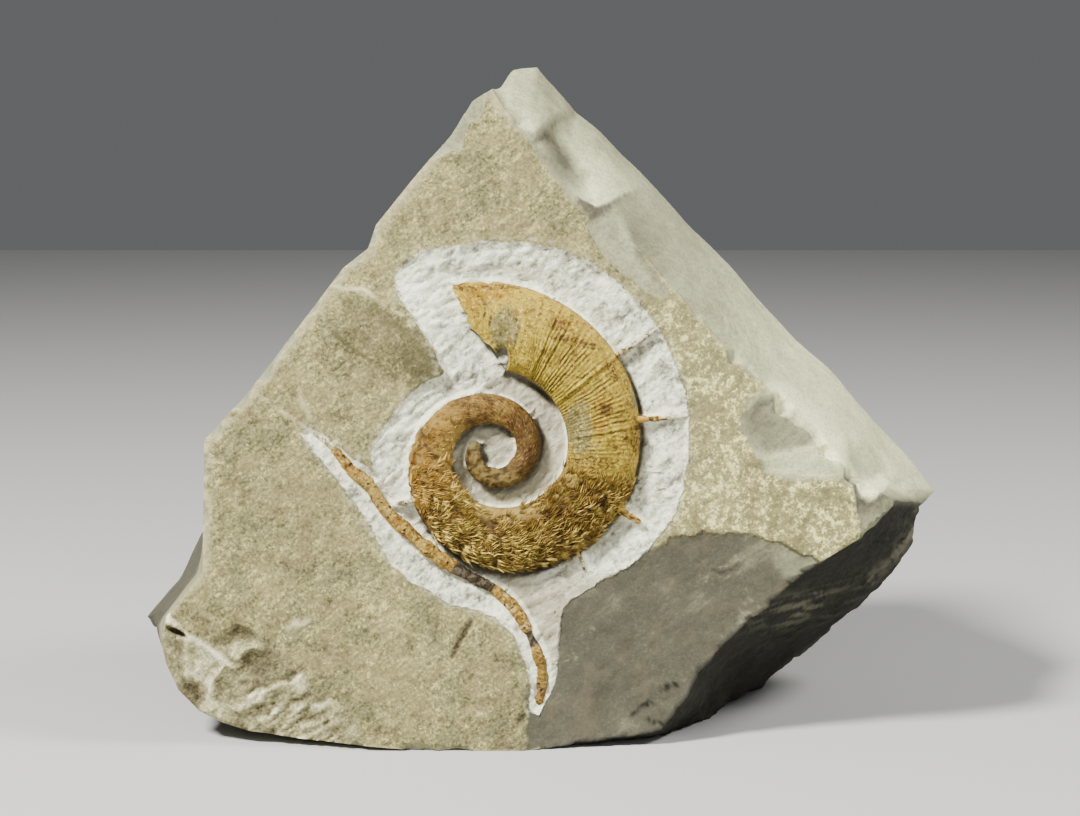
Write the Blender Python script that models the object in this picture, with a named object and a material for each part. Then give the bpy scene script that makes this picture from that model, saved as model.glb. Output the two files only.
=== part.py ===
"""Uncoiled ammonite in its block of marlstone.

An open-coiled ammonite shell and a second, slender shell stand in relief on the weathered
bedding face of a broken block. The block stands on its flat lower break.

Frame: metres, +Z up, +X to the right as seen from the fossil's side, which faces -Y.
The origin is the middle of the flat base.

Sizes below are in millimetres. Most are given on the fossil face, which leans back:
u runs right, v runs up the face, w runs straight into the stone, all from the middle
of the coil.
"""

import math

import bmesh
import bpy
import numpy as np
from mathutils import Vector
from mathutils.geometry import delaunay_2d_cdt

MM = 0.001

# How the fossil face stands: its lean, and the middle of the coil from the base's middle.
FACE_LEAN = math.radians(8.0)
COIL_X = -12.0
COIL_Y = -28.0
COIL_Z = 72.8

# Gap left between a fossil and the bed it lies in.
BED_GAP = 0.3

# The block's outlines, clockwise from the apex: (u, v, w).
# The arris round the weathered face:
FRONT_EDGE = [
    (-0.7, 89.2, 0.0), (2.5, 84.0, 0.0), (10.3, 78.4, 0.0), (23.3, 63.1, 0.0),
    (39.3, 45.2, 0.0), (55.8, 26.3, 0.0), (71.3, 11.5, 0.0), (89.2, -6.4, 0.0),
    (100.1, -12.4, 4.0), (94.4, -18.5, 2.0), (84.0, -24.6, 0.0), (73.2, -31.0, 0.0),
    (58.2, -43.2, 0.0), (47.9, -53.6, 0.0), (43.5, -62.2, 0.0), (40.5, -67.8, 0.0),
    (19.2, -71.5, 0.0), (6.1, -73.7, 0.0), (-23.3, -73.0, 0.0), (-47.9, -71.0, 0.0),
    (-60.9, -67.8, 0.0), (-77.0, -60.4, 2.0), (-83.0, -46.5, 3.0), (-81.5, -40.8, 3.0),
    (-71.7, -29.5, 0.0), (-71.7, -13.3, 0.0), (-71.5, 2.9, 0.0), (-60.9, 14.3, 0.0),
    (-47.7, 31.4, 0.0), (-37.3, 45.2, 0.0), (-31.2, 49.9, 0.0), (-29.2, 55.8, 0.0),
    (-20.1, 67.1, 0.0), (-10.8, 78.1, 0.0), (-5.7, 86.2, 0.0),
]
# The widest outline, where the broken slopes turn away behind:
WAIST = [
    (4.0, 96.3, 18.0), (10.3, 98.4, 24.0), (20.4, 87.9, 32.0), (35.1, 75.3, 38.0),
    (53.6, 56.4, 40.0), (69.8, 38.1, 40.0), (89.2, 18.2, 42.0), (103.9, 2.6, 42.0),
    (115.3, -11.1, 44.0), (110.4, -15.4, 40.0), (103.5, -28.8, 36.0), (90.3, -40.6, 34.0),
    (74.2, -49.4, 34.0), (62.9, -57.5, 32.0), (55.1, -69.7, 30.0), (39.1, -73.2, 26.0),
    (7.1, -75.2, 30.0), (-22.9, -75.2, 32.0), (-46.9, -69.2, 34.0), (-62.9, -63.2, 30.0),
    (-80.9, -53.2, 28.0), (-86.9, -45.2, 30.0), (-76.9, -31.2, 30.0), (-72.9, -21.2, 32.0),
    (-68.9, 4.8, 34.0), (-58.9, 16.8, 34.0), (-44.9, 34.8, 34.0), (-27.9, 53.8, 32.0),
    (-16.9, 68.8, 30.0), (-6.9, 80.8, 26.0), (-0.9, 89.8, 20.0),
]
# The outline behind the waist, with the lump at the lower left and the hollow underside:
REAR = [
    (4.0, 94.8, 38.0), (11.0, 95.8, 42.0), (21.0, 84.8, 52.0), (35.0, 71.8, 58.0),
    (69.0, 34.8, 60.0), (101.0, 1.8, 58.0), (109.0, -13.2, 58.0), (110.8, -24.4, 56.0),
    (103.8, -35.4, 56.0), (94.6, -45.0, 58.0), (82.5, -54.9, 60.0), (69.2, -64.2, 54.0),
    (45.0, -71.2, 52.0), (9.0, -74.2, 56.0), (-23.0, -73.2, 56.0), (-47.0, -65.2, 58.0),
    (-63.0, -57.2, 58.0), (-83.0, -50.6, 56.0), (-92.6, -47.8, 57.0), (-94.5, -45.2, 57.0),
    (-85.9, -35.0, 58.0), (-71.0, -3.2, 58.0), (-67.0, 5.8, 58.0), (-43.0, 34.8, 54.0),
    (-16.0, 67.8, 48.0), (0.0, 88.8, 40.0),
]
# The outline of the back face:
BACK = [
    (3.0, 84.8, 50.0), (17.0, 76.8, 62.0), (45.0, 44.8, 72.0), (75.0, 10.8, 76.0),
    (89.0, -15.2, 72.0), (91.0, -27.2, 74.0), (67.0, -53.2, 76.0), (41.0, -69.2, 74.0),
    (-21.0, -69.2, 76.0), (-55.0, -51.2, 76.0), (-83.0, -37.2, 76.0), (-71.0, -17.2, 76.0),
    (-61.0, 6.8, 74.0), (-39.0, 30.8, 68.0), (-15.0, 62.8, 60.0),
]
BACK_MIDDLE = (0.0, 0.0, 80.0)
# Flat breaks over the upper left flank and the back: outward direction (u, v, w), and the
# distance from the coil's middle.
FLAT_BREAKS = [
    ((-0.76, 0.60, 0.25), 60.0), ((-0.55, 0.55, 0.63), 70.0), ((-0.42, 0.12, 0.90), 86.4),
    ((0.10, 0.80, 0.59), 96.0), ((0.45, 0.45, 0.77), 87.0), ((0.35, -0.30, 0.89), 99.5),
    ((-0.10, -0.45, 0.89), 92.0), ((0.02, 0.05, 1.00), 77.0),
]
SECTOR_STEP = math.radians(6.0)

# Curved break scars: middle on the surface (u, v, w), outward direction, mouth radius, depth.
SCARS = [
    ("scar_low_right", (55.3, -68.3, 0.0), (0.0, 0.0, -1.0), 48.4, 4.5),
    ("scar_apex", (21.0, 71.0, 4.0), (0.60, 0.40, -0.70), 10.0, 3.0),
    ("scar_upper_slope", (30.0, 54.5, 5.0), (0.60, 0.40, -0.70), 11.0, 2.5),
    ("scar_right_slope", (75.0, 5.0, 3.0), (0.50, 0.45, -0.74), 12.5, 3.5),
    ("scar_right_tip", (90.0, -9.5, 2.0), (0.30, 0.30, -0.90), 7.5, 1.5),
    ("scar_low_left", (-76.0, -52.0, 1.0), (-0.45, -0.25, -0.86), 9.0, 2.2),
    ("scar_low_left_ledge", (-58.0, -63.0, 1.0), (-0.20, -0.50, -0.84), 8.0, 1.8),
    ("scar_left_hollow", (-55.5, -54.0, 0.0), (-0.10, -0.10, -0.99), 6.5, 1.0),
    ("scar_under_right", (88.0, -40.0, 22.0), (0.45, -0.75, -0.45), 15.0, 3.0),
    ("scar_under_foot", (62.0, -60.0, 24.0), (0.50, -0.75, -0.40), 12.0, 2.5),
    ("scar_back_left", (-30.0, -8.0, 76.5), (-0.20, 0.00, 0.98), 24.0, 4.0),
    ("scar_back_right", (42.0, 14.0, 77.0), (0.20, 0.25, 0.95), 28.0, 4.5),
    ("scar_back_low", (30.0, -42.0, 78.0), (0.05, -0.20, 0.98), 24.0, 3.5),
]

# The hollow that was cut round the fossils: its outline on the face (u, v).
HOLLOW_EDGE = [
    (-24.8, 42.3), (-22.9, 46.2), (-18.2, 49.4), (-11.6, 50.6), (-1.7, 51.8), (8.6, 51.4),
    (16.0, 49.6), (23.3, 46.7), (29.5, 42.5), (35.6, 36.6), (40.5, 30.0), (44.2, 22.6),
    (46.9, 14.0), (47.9, 6.6), (47.7, -0.7), (46.4, -9.3), (43.5, -16.7), (39.3, -22.4),
    (33.7, -28.3), (25.1, -33.2), (18.4, -36.9), (16.2, -41.3), (16.0, -49.9), (15.7, -55.5),
    (13.8, -61.4), (10.8, -65.6), (8.6, -63.9), (8.8, -60.0), (8.1, -54.5), (6.9, -50.1),
    (4.2, -44.7), (0.2, -40.8), (-4.9, -38.8), (-11.5, -37.6), (-16.2, -34.2),
    (-20.6, -32.2), (-25.3, -27.8), (-28.0, -23.1), (-30.7, -18.4), (-34.6, -12.5),
    (-37.8, -8.6), (-41.3, -3.9), (-44.5, 0.0), (-47.7, 4.7), (-46.4, 6.1), (-42.5, 4.7),
    (-37.1, 0.0), (-30.2, -4.4), (-30.5, -0.7), (-29.2, 2.9), (-26.8, 7.1), (-21.4, 14.3),
    (-17.4, 17.0), (-12.8, 19.4), (-14.7, 24.8), (-18.2, 29.5), (-20.9, 34.2),
    (-23.3, 37.3),
]
HOLLOW_STEP = 0.6
HOLLOW_STEP_WIDTH = 0.5
HOLLOW_DEPTH = 3.2
HOLLOW_SLOPE = 12.0

# The low swell of the bedding face at the hollow's upper left.
SWELL_MIDDLE = (-24.6, 28.7)
SWELL_TILT = math.radians(-36.0)
SWELL_LENGTH = 13.0
SWELL_WIDTH = 7.5
SWELL_HEIGHT = 1.2

# Mesh spacing on the bedding face, outside and inside the hollow.
FACE_SPACING = 12.0
HOLLOW_SPACING = 4.5

# The coiled shell: turn angle in degrees, inner and outer edge from the coil's middle.
COIL = [
    (-570.0, 4.0, 6.2), (-525.0, 3.4, 7.7), (-480.0, 4.0, 8.5), (-435.0, 4.2, 9.2),
    (-390.0, 4.5, 10.1), (-345.0, 5.4, 11.6), (-300.0, 6.3, 13.0), (-255.0, 7.3, 14.9),
    (-210.0, 9.1, 18.3), (-165.0, 11.4, 22.3), (-120.0, 12.9, 26.2), (-75.0, 14.2, 29.8),
    (-30.0, 16.6, 33.4), (15.0, 18.3, 36.7), (60.0, 19.5, 39.8), (105.0, 20.3, 43.0),
]
# The broken mouth, from its outer tip to its inner lip: (u, v).
MOUTH_BREAK = [
    (-10.6, 41.7), (-7.9, 34.9), (-5.6, 30.7), (-2.5, 27.5), (-0.5, 25.1), (1.2, 22.1),
    (2.5, 19.9),
]
MOUTH_START = 62.0
MOUTH_GAP_SHARE = 1.8
SHELL_AXIS_DEPTH = 3.0
SHELL_BREADTH = 0.8
SHELL_SIDES = 12
RIB_SPACING = 0.26
RIB_HEIGHT = 0.035
TIP_TAPER = 0.6

# Spines: root and tip (u, v, w), and the radius at each.
SPINES = [
    ("spine_top", (27.6, 22.2, 1.4), (40.0, 30.4, 0.5), 0.9, 0.35),
    ("spine_side", (32.5, 7.7, 1.2), (47.4, 8.8, 0.6), 1.2, 0.4),
    ("spine_low", (28.0, -12.2, 1.0), (35.8, -17.4, 0.8), 1.3, 0.8),
    ("spine_bottom", (19.4, -20.9, 1.4), (22.1, -29.3, 1.0), 0.8, 0.4),
    ("spine_left", (-17.2, -11.6, 1.4), (-24.4, -12.7, 1.4), 0.8, 0.4),
]
SPINE_SIDES = 6

# The slender shell: points along its axis (u, v) and its radius there.
SLENDER = [
    (-45.2, 5.6, 0.8), (-39.8, 1.2, 1.2), (-35.1, -4.7, 1.5), (-31.2, -7.9, 1.6),
    (-26.8, -14.5, 1.6), (-21.4, -19.7, 1.7), (-16.2, -24.3, 1.7), (-11.5, -27.4, 1.6),
    (-5.6, -31.0, 1.3), (-1.0, -33.4, 1.2), (1.7, -35.6, 1.1), (4.9, -38.8, 1.2),
    (7.6, -43.5, 1.2), (10.1, -48.6, 1.1), (11.3, -53.3, 1.1), (11.5, -58.0, 1.1),
    (10.4, -62.6, 0.8),
]
SLENDER_AXIS_DEPTH = 1.6
SLENDER_SIDES = 8
SLENDER_RINGS = 40


def face_point(u, v, w):
    """A place given on the fossil face, in the block's own frame, in metres."""
    sine, cosine = math.sin(FACE_LEAN), math.cos(FACE_LEAN)
    return Vector((
        (COIL_X + u) * MM,
        (COIL_Y + v * sine + w * cosine) * MM,
        (COIL_Z + v * cosine - w * sine) * MM,
    ))


def new_object(name, mesh_maker, material=None):
    """Make a mesh object from a bmesh that mesh_maker fills."""
    work = bmesh.new()
    mesh_maker(work)
    bmesh.ops.recalc_face_normals(work, faces=work.faces)
    mesh = bpy.data.meshes.new(name)
    work.to_mesh(mesh)
    work.free()
    thing = bpy.data.objects.new(name, mesh)
    bpy.context.scene.collection.objects.link(thing)
    if material:
        mesh.materials.append(material)
    return thing


def make_material(name, colour, roughness):
    """One plain finish."""
    material = bpy.data.materials.new(name)
    material.use_nodes = True
    shader = material.node_tree.nodes["Principled BSDF"]
    shader.inputs["Base Color"].default_value = (*colour, 1.0)
    shader.inputs["Roughness"].default_value = roughness
    shader.inputs["Metallic"].default_value = 0.0
    return material


def cut_with(thing, cutter):
    """Subtract a cutter, which stays in the file as a wire guide."""
    cutter.hide_render = True
    cutter.display_type = "WIRE"
    cut = thing.modifiers.new("cut_" + cutter.name, "BOOLEAN")
    cut.operation = "DIFFERENCE"
    cut.object = cutter


def smooth_step(value):
    value = np.clip(value, 0.0, 1.0)
    return value * value * (3.0 - 2.0 * value)


# --- The block -------------------------------------------------------------------------


def outline_angles(outline, step):
    """Directions from the coil's middle through each corner, with steps in between."""
    corners = sorted(math.atan2(v, u) for u, v, w in outline)
    angles = []
    for first, last in zip(corners, corners[1:] + [corners[0] + math.tau]):
        count = max(1, round((last - first) / step))
        angles += [first + (last - first) * i / count for i in range(count)]
    return angles


def outline_ring(outline, angles):
    """The points of an outline in the given directions."""
    ring = []
    for angle in angles:
        across = (-math.sin(angle), math.cos(angle))
        for start, end in zip(outline, outline[1:] + outline[:1]):
            side_start = start[0] * across[0] + start[1] * across[1]
            side_end = end[0] * across[0] + end[1] * across[1]
            if side_start * side_end > 0.0 or side_start == side_end:
                continue
            share = side_start / (side_start - side_end)
            point = [a + (b - a) * share for a, b in zip(start, end)]
            if point[0] * math.cos(angle) + point[1] * math.sin(angle) > 0.0:
                ring.append(tuple(point))
                break
    return ring


def edge_distance(points, outline):
    """Distance from each point to a closed outline, positive inside it."""
    corners = np.array(outline)
    nearest = np.full(len(points), 1.0e9)
    inside = np.zeros(len(points), dtype=bool)
    for start, end in zip(corners, np.roll(corners, -1, axis=0)):
        run = end - start
        share = np.clip((points - start) @ run / (run @ run), 0.0, 1.0)
        gap = np.linalg.norm(points - start - share[:, None] * run, axis=1)
        nearest = np.minimum(nearest, gap)
        spans = (start[1] > points[:, 1]) != (end[1] > points[:, 1])
        rise = run[1] if run[1] else 1.0
        cross_u = start[0] + (points[:, 1] - start[1]) / rise * run[0]
        inside ^= spans & (points[:, 0] < cross_u)
    return np.where(inside, nearest, -nearest)


def face_relief(points):
    """Depth w of the bedding face: the hollow is cut in, the swell stands out."""
    inward = edge_distance(points, HOLLOW_EDGE)
    step = HOLLOW_STEP * np.clip(inward / HOLLOW_STEP_WIDTH, 0.0, 1.0)
    dish = (HOLLOW_DEPTH - HOLLOW_STEP) * smooth_step(inward / HOLLOW_SLOPE)
    offset = points - np.array(SWELL_MIDDLE)
    along = offset[:, 0] * math.cos(SWELL_TILT) + offset[:, 1] * math.sin(SWELL_TILT)
    over = offset[:, 1] * math.cos(SWELL_TILT) - offset[:, 0] * math.sin(SWELL_TILT)
    spread = (along / SWELL_LENGTH) ** 2 + (over / SWELL_WIDTH) ** 2
    swell = SWELL_HEIGHT * np.exp(-(spread**2)) * (inward < 0.0)
    return step + dish - swell


def inset(outline, amount):
    """A closed outline moved inwards by a small amount."""
    corners = np.array(outline)
    run = np.roll(corners, -1, axis=0) - np.roll(corners, 1, axis=0)
    inward = np.stack([run[:, 1], -run[:, 0]], axis=1)
    inward /= np.linalg.norm(inward, axis=1)[:, None]
    return corners + inward * amount


def lattice(spacing, limits):
    """A triangular lattice of points over a rectangle."""
    low_u, low_v, high_u, high_v = limits
    rows = int((high_v - low_v) / (spacing * math.sqrt(0.75))) + 1
    columns = int((high_u - low_u) / spacing) + 1
    return np.array([
        (low_u + (column + 0.5 * (row % 2)) * spacing, low_v + row * spacing * math.sqrt(0.75))
        for row in range(rows)
        for column in range(columns)
    ])


def face_sheet(border):
    """Triangles over the bedding face, inside the border ring."""
    border = np.array(border)
    flat_border = border[:, :2]
    hollow = np.array(HOLLOW_EDGE)
    hollow_floor = inset(HOLLOW_EDGE, HOLLOW_STEP_WIDTH)
    limits = (*flat_border.min(axis=0), *flat_border.max(axis=0))
    wide = lattice(FACE_SPACING, limits)
    clear = edge_distance(wide, flat_border) > FACE_SPACING * 0.45
    clear &= edge_distance(wide, HOLLOW_EDGE) < -FACE_SPACING * 0.35
    wide = wide[clear]
    fine = lattice(HOLLOW_SPACING, limits)
    fine = fine[edge_distance(fine, hollow_floor) > HOLLOW_SPACING * 0.45]
    points = np.concatenate([flat_border, hollow, hollow_floor, wide, fine])
    edges = []
    first = 0
    for loop in (flat_border, hollow, hollow_floor):
        count = len(loop)
        edges += [(first + i, first + (i + 1) % count) for i in range(count)]
        first += count
    found = delaunay_2d_cdt([Vector(p) for p in points], edges, [], 1, 1.0e-6)
    flat, triangles, sources = np.array(found[0]), found[2], found[3]
    depth = face_relief(flat)
    ring_index = {}
    for index, source in enumerate(sources):
        for origin in source:
            if origin < len(border):
                ring_index[origin] = index
                depth[index] += border[origin][2]
    return flat, depth, triangles, [ring_index[i] for i in range(len(border))]


def between(ring_a, ring_b, share, bulge):
    """A ring part of the way between two, pushed out from the coil's axis by a bulge."""
    ring = []
    for a, b in zip(ring_a, ring_b):
        u, v, w = (p + (q - p) * share for p, q in zip(a, b))
        grow = 1.0 + bulge / math.hypot(u, v)
        ring.append((u * grow, v * grow, w))
    return ring


def break_flat(work, place, outward):
    """Take off what stands outside a plane, and close the cut."""
    everything = list(work.verts) + list(work.edges) + list(work.faces)
    cut = bmesh.ops.bisect_plane(
        work, geom=everything, dist=1.0e-7, plane_co=place,
        plane_no=outward.normalized(), clear_outer=True,
    )
    rim = [part for part in cut["geom_cut"] if isinstance(part, bmesh.types.BMEdge)]
    bmesh.ops.contextual_create(work, geom=rim)


def fill_block(work):
    """The broken block, closed all round, with its lower side cut flat."""
    angles = outline_angles(FRONT_EDGE, SECTOR_STEP)
    front, waist, rear, back = (
        outline_ring(outline, angles) for outline in (FRONT_EDGE, WAIST, REAR, BACK)
    )
    flat, depth, triangles, border = face_sheet(front)
    sheet = [work.verts.new(face_point(u, v, w)) for (u, v), w in zip(flat, depth)]
    for triangle in triangles:
        work.faces.new([sheet[i] for i in triangle])
    rings = [
        between(front, waist, 0.33, 0.8),
        between(front, waist, 0.7, 1.0),
        waist,
        between(waist, rear, 0.5, 1.0),
        rear,
        between(rear, back, 0.6, 1.5),
        back,
        between(back, [BACK_MIDDLE] * len(back), 0.5, 0.0),
    ]
    last = [sheet[i] for i in border]
    for ring in rings:
        here = [work.verts.new(face_point(*point)) for point in ring]
        count = len(here)
        for i in range(count):
            k = (i + 1) % count
            work.faces.new((last[i], last[k], here[k], here[i]))
        last = here
    middle = work.verts.new(face_point(*BACK_MIDDLE))
    for i in range(len(last)):
        work.faces.new((last[i], last[(i + 1) % len(last)], middle))
    for outward, distance in FLAT_BREAKS:
        axis = Vector(outward).normalized()
        place = face_point(*(axis * distance))
        break_flat(work, place, place - face_point(0.0, 0.0, 0.0))
    break_flat(work, Vector((0.0, 0.0, 0.0)), Vector((0.0, 0.0, -1.0)))
    bmesh.ops.triangulate(work, faces=work.faces)


def fill_scar_tool(middle, outward, mouth, depth):
    """A lens-shaped tool: a shallow ball cap below the surface, closed above it."""
    ball = (mouth**2 + depth**2) / (2.0 * depth)
    axis = Vector(outward).normalized()
    side = axis.orthogonal().normalized()
    other = axis.cross(side)
    sides = 20 if mouth > 20.0 else 14
    reach = mouth * 1.2

    def place(radius, turn, height):
        angle = math.tau * turn / sides
        spot = Vector(middle) + axis * height
        spot += (side * math.cos(angle) + other * math.sin(angle)) * radius
        return face_point(*spot)

    def fill(work):
        bottom = work.verts.new(place(0.0, 0, -depth))
        levels = [(reach * share, None) for share in (0.35, 0.7, 1.0)] + [(reach, depth * 3.0)]
        last = None
        for radius, height in levels:
            if height is None:
                height = ball - depth - math.sqrt(ball**2 - radius**2)
            here = [work.verts.new(place(radius, turn, height)) for turn in range(sides)]
            for i in range(sides):
                k = (i + 1) % sides
                if last is None:
                    work.faces.new((bottom, here[i], here[k]))
                else:
                    work.faces.new((last[i], last[k], here[k], here[i]))
            last = here
        work.faces.new(last)

    return fill


# --- The coiled shell ------------------------------------------------------------------


def smooth_curve(knots, places):
    """A smooth curve through knots (place, value, value, ...), read at the given places."""
    knots = np.array(knots)
    x, values = knots[:, 0], knots[:, 1:]
    slopes = np.gradient(values, x, axis=0)
    i = np.clip(np.searchsorted(x, places) - 1, 0, len(x) - 2)
    span = (x[i + 1] - x[i])[:, None]
    t = (np.asarray(places) - x[i])[:, None] / span
    return (
        (2 * t**3 - 3 * t**2 + 1) * values[i] + (t**3 - 2 * t**2 + t) * span * slopes[i]
        + (3 * t**2 - 2 * t**3) * values[i + 1] + (t**3 - t**2) * span * slopes[i + 1]
    )


def mouth_turn(radius):
    """Turn angle of the broken mouth at a distance from the coil's middle."""
    points = sorted((math.hypot(u, v), math.degrees(math.atan2(v, u))) for u, v in MOUTH_BREAK)
    return float(np.interp(radius, [p[0] for p in points], [p[1] for p in points]))


def rib_turns():
    """Turn angles of the rings: each rib has its crest, and a groove on each side."""
    turn = COIL[0][0]
    turns = [turn]
    while turn < COIL[-1][0]:
        inner, outer = smooth_curve(COIL, [turn])[0]
        turn += math.degrees(RIB_SPACING * (outer - inner) / (inner + outer) * 2.0) / 2.0
        turns.append(min(turn, COIL[-1][0]))
    return turns


def coil_point(radius, turn, depth, gap):
    """A point of the coil's wall; the last turn's rings lean over to meet the broken mouth."""
    if turn > MOUTH_START:
        share = (turn - MOUTH_START) / (COIL[-1][0] - MOUTH_START)
        end = mouth_turn(radius) + math.degrees(MOUTH_GAP_SHARE * gap / radius)
        turn = MOUTH_START + (end - MOUTH_START) * share
    turn = math.radians(turn)
    return face_point(radius * math.cos(turn), radius * math.sin(turn), depth)


def fill_coil(gap):
    """The open coil as an oval tube with a ribbed wall, ending at the broken mouth."""

    def fill(work):
        turns = rib_turns()
        edges = smooth_curve(COIL, turns)
        last = None
        for number, (turn, (inner, outer)) in enumerate(zip(turns, edges)):
            middle = 0.5 * (inner + outer)
            crest = number % 2 == 1 and turn < COIL[-1][0]
            swell = 1.0 + RIB_HEIGHT * crest
            if number == 0:
                turn -= math.degrees(gap / middle)
                swell = TIP_TAPER
            half = 0.5 * (outer - inner) * swell + gap
            breadth = 0.5 * (outer - inner) * swell * SHELL_BREADTH + gap
            here = []
            for side in range(SHELL_SIDES):
                angle = math.tau * side / SHELL_SIDES
                radius = middle + half * math.cos(angle)
                depth = SHELL_AXIS_DEPTH + breadth * math.sin(angle)
                here.append(work.verts.new(coil_point(radius, turn, depth, gap)))
            if last is None:
                work.faces.new(here)
            else:
                for i in range(SHELL_SIDES):
                    k = (i + 1) % SHELL_SIDES
                    work.faces.new((last[i], last[k], here[k], here[i]))
            last = here
        centre = work.verts.new(coil_point(middle, turn, SHELL_AXIS_DEPTH, gap))
        for i in range(SHELL_SIDES):
            work.faces.new((last[i], last[(i + 1) % SHELL_SIDES], centre))

    return fill


def fill_spine(root, tip, root_radius, tip_radius, gap):
    """A tapering spine with a blunt tip."""

    def fill(work):
        start, end = Vector(root), Vector(tip)
        axis = (end - start).normalized()
        side = axis.orthogonal().normalized()
        other = axis.cross(side)
        last = None
        for spot, radius in ((start, root_radius), (end + axis * gap, tip_radius)):
            here = []
            for step in range(SPINE_SIDES):
                angle = math.tau * step / SPINE_SIDES
                out = side * math.cos(angle) + other * math.sin(angle)
                here.append(work.verts.new(face_point(*(spot + out * (radius + gap)))))
            work.faces.new(here)
            if last:
                for i in range(SPINE_SIDES):
                    k = (i + 1) % SPINE_SIDES
                    work.faces.new((last[i], last[k], here[k], here[i]))
            last = here

    return fill


def make_coiled_shell(name, gap, material=None):
    """The coil with its spines grown on."""
    shell = new_object(name, fill_coil(gap), material)
    for spine_name, root, tip, root_radius, tip_radius in SPINES:
        spine = new_object(
            name + "_" + spine_name, fill_spine(root, tip, root_radius, tip_radius, gap)
        )
        spine.hide_render = True
        spine.display_type = "WIRE"
        join = shell.modifiers.new("grow_" + spine_name, "BOOLEAN")
        join.operation = "UNION"
        join.object = spine
    return shell


# --- The slender shell -----------------------------------------------------------------


def fill_slender(gap):
    """A thin, gently curved tube that tapers at both ends."""

    def fill(work):
        knots = [(i, *point) for i, point in enumerate(SLENDER)]
        places = np.linspace(0.0, len(SLENDER) - 1.0, SLENDER_RINGS)
        line = smooth_curve(knots, places)
        along = np.gradient(line[:, :2], axis=0)
        along /= np.linalg.norm(along, axis=1)[:, None]
        line[0, :2] -= along[0] * gap
        line[-1, :2] += along[-1] * gap
        last = None
        for (u, v, radius), (run_u, run_v) in zip(line, along):
            here = []
            for step in range(SLENDER_SIDES):
                angle = math.tau * (step + 0.5) / SLENDER_SIDES
                out = (radius + gap) * math.cos(angle)
                depth = SLENDER_AXIS_DEPTH + (radius + gap) * math.sin(angle)
                here.append(work.verts.new(face_point(u - run_v * out, v + run_u * out, depth)))
            if last is None:
                work.faces.new(here)
            else:
                for i in range(SLENDER_SIDES):
                    k = (i + 1) % SLENDER_SIDES
                    work.faces.new((last[i], last[k], here[k], here[i]))
            last = here
        work.faces.new(last)

    return fill


# --- Assembly --------------------------------------------------------------------------


def build():
    """Make the three pieces: the block and the two shells in their beds."""
    for thing in list(bpy.data.objects):
        bpy.data.objects.remove(thing, do_unlink=True)

    marlstone = make_material("marlstone", (0.42, 0.39, 0.29), 0.92)
    coil_shell = make_material("ochre_shell", (0.55, 0.33, 0.08), 0.6)
    thin_shell = make_material("rusty_shell", (0.50, 0.27, 0.09), 0.65)

    block = new_object("matrix_block", fill_block, marlstone)
    for name, middle, outward, mouth, depth in SCARS:
        cut_with(block, new_object(name, fill_scar_tool(middle, outward, mouth, depth)))
    cut_with(block, make_coiled_shell("coil_bed", BED_GAP))
    cut_with(block, new_object("slender_bed", fill_slender(BED_GAP)))

    coil = make_coiled_shell("ammonite_shell", 0.0, coil_shell)
    slender = new_object("slender_shell", fill_slender(0.0), thin_shell)
    for thing in (coil, slender):
        thing.data.shade_smooth()
        thing.data.set_sharp_from_angle(angle=math.radians(50.0))


build()
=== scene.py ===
import math
import random

import bmesh
import bpy
import numpy as np
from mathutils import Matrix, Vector, noise
from mathutils.geometry import delaunay_2d_cdt


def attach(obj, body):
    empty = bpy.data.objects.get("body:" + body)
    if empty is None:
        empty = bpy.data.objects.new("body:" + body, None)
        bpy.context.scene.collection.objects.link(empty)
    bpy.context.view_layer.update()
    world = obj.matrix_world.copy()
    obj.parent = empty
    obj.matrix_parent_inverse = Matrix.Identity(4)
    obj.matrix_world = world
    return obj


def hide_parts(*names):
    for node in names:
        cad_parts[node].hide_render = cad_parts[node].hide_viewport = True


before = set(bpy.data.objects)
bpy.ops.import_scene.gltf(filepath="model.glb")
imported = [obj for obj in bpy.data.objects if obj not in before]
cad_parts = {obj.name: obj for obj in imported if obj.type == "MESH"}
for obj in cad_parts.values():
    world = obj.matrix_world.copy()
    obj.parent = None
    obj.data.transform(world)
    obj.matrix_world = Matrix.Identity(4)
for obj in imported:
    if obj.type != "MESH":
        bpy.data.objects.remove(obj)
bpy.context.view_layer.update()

# Finish of a block of marlstone with two fossils in relief on its face: an open-coiled
# ammonite, and a second, slender shell below it.


# ======================================================================================
# Marlstone block. A broken piece of fine, bedded marl. Its front is a weathered bedding
# face, its sides are curved breaks, and round the fossils the stone was cut down with an
# air chisel, which left a whitish, scratched hollow.
# ======================================================================================

# Places are millimetres from the middle of the coil: u runs right, v runs up the fossil
# face, which leans back, and w runs straight into the stone.
MM = 0.001
FACE_LEAN = math.radians(8.0)
COIL_MIDDLE = (-12.0, -28.0, 72.8)
# Where the camera looks at the face, and how far it stands from it.
VIEW_MIDDLE = (11.06, 10.81)
VIEW_DISTANCE = 600.0

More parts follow.
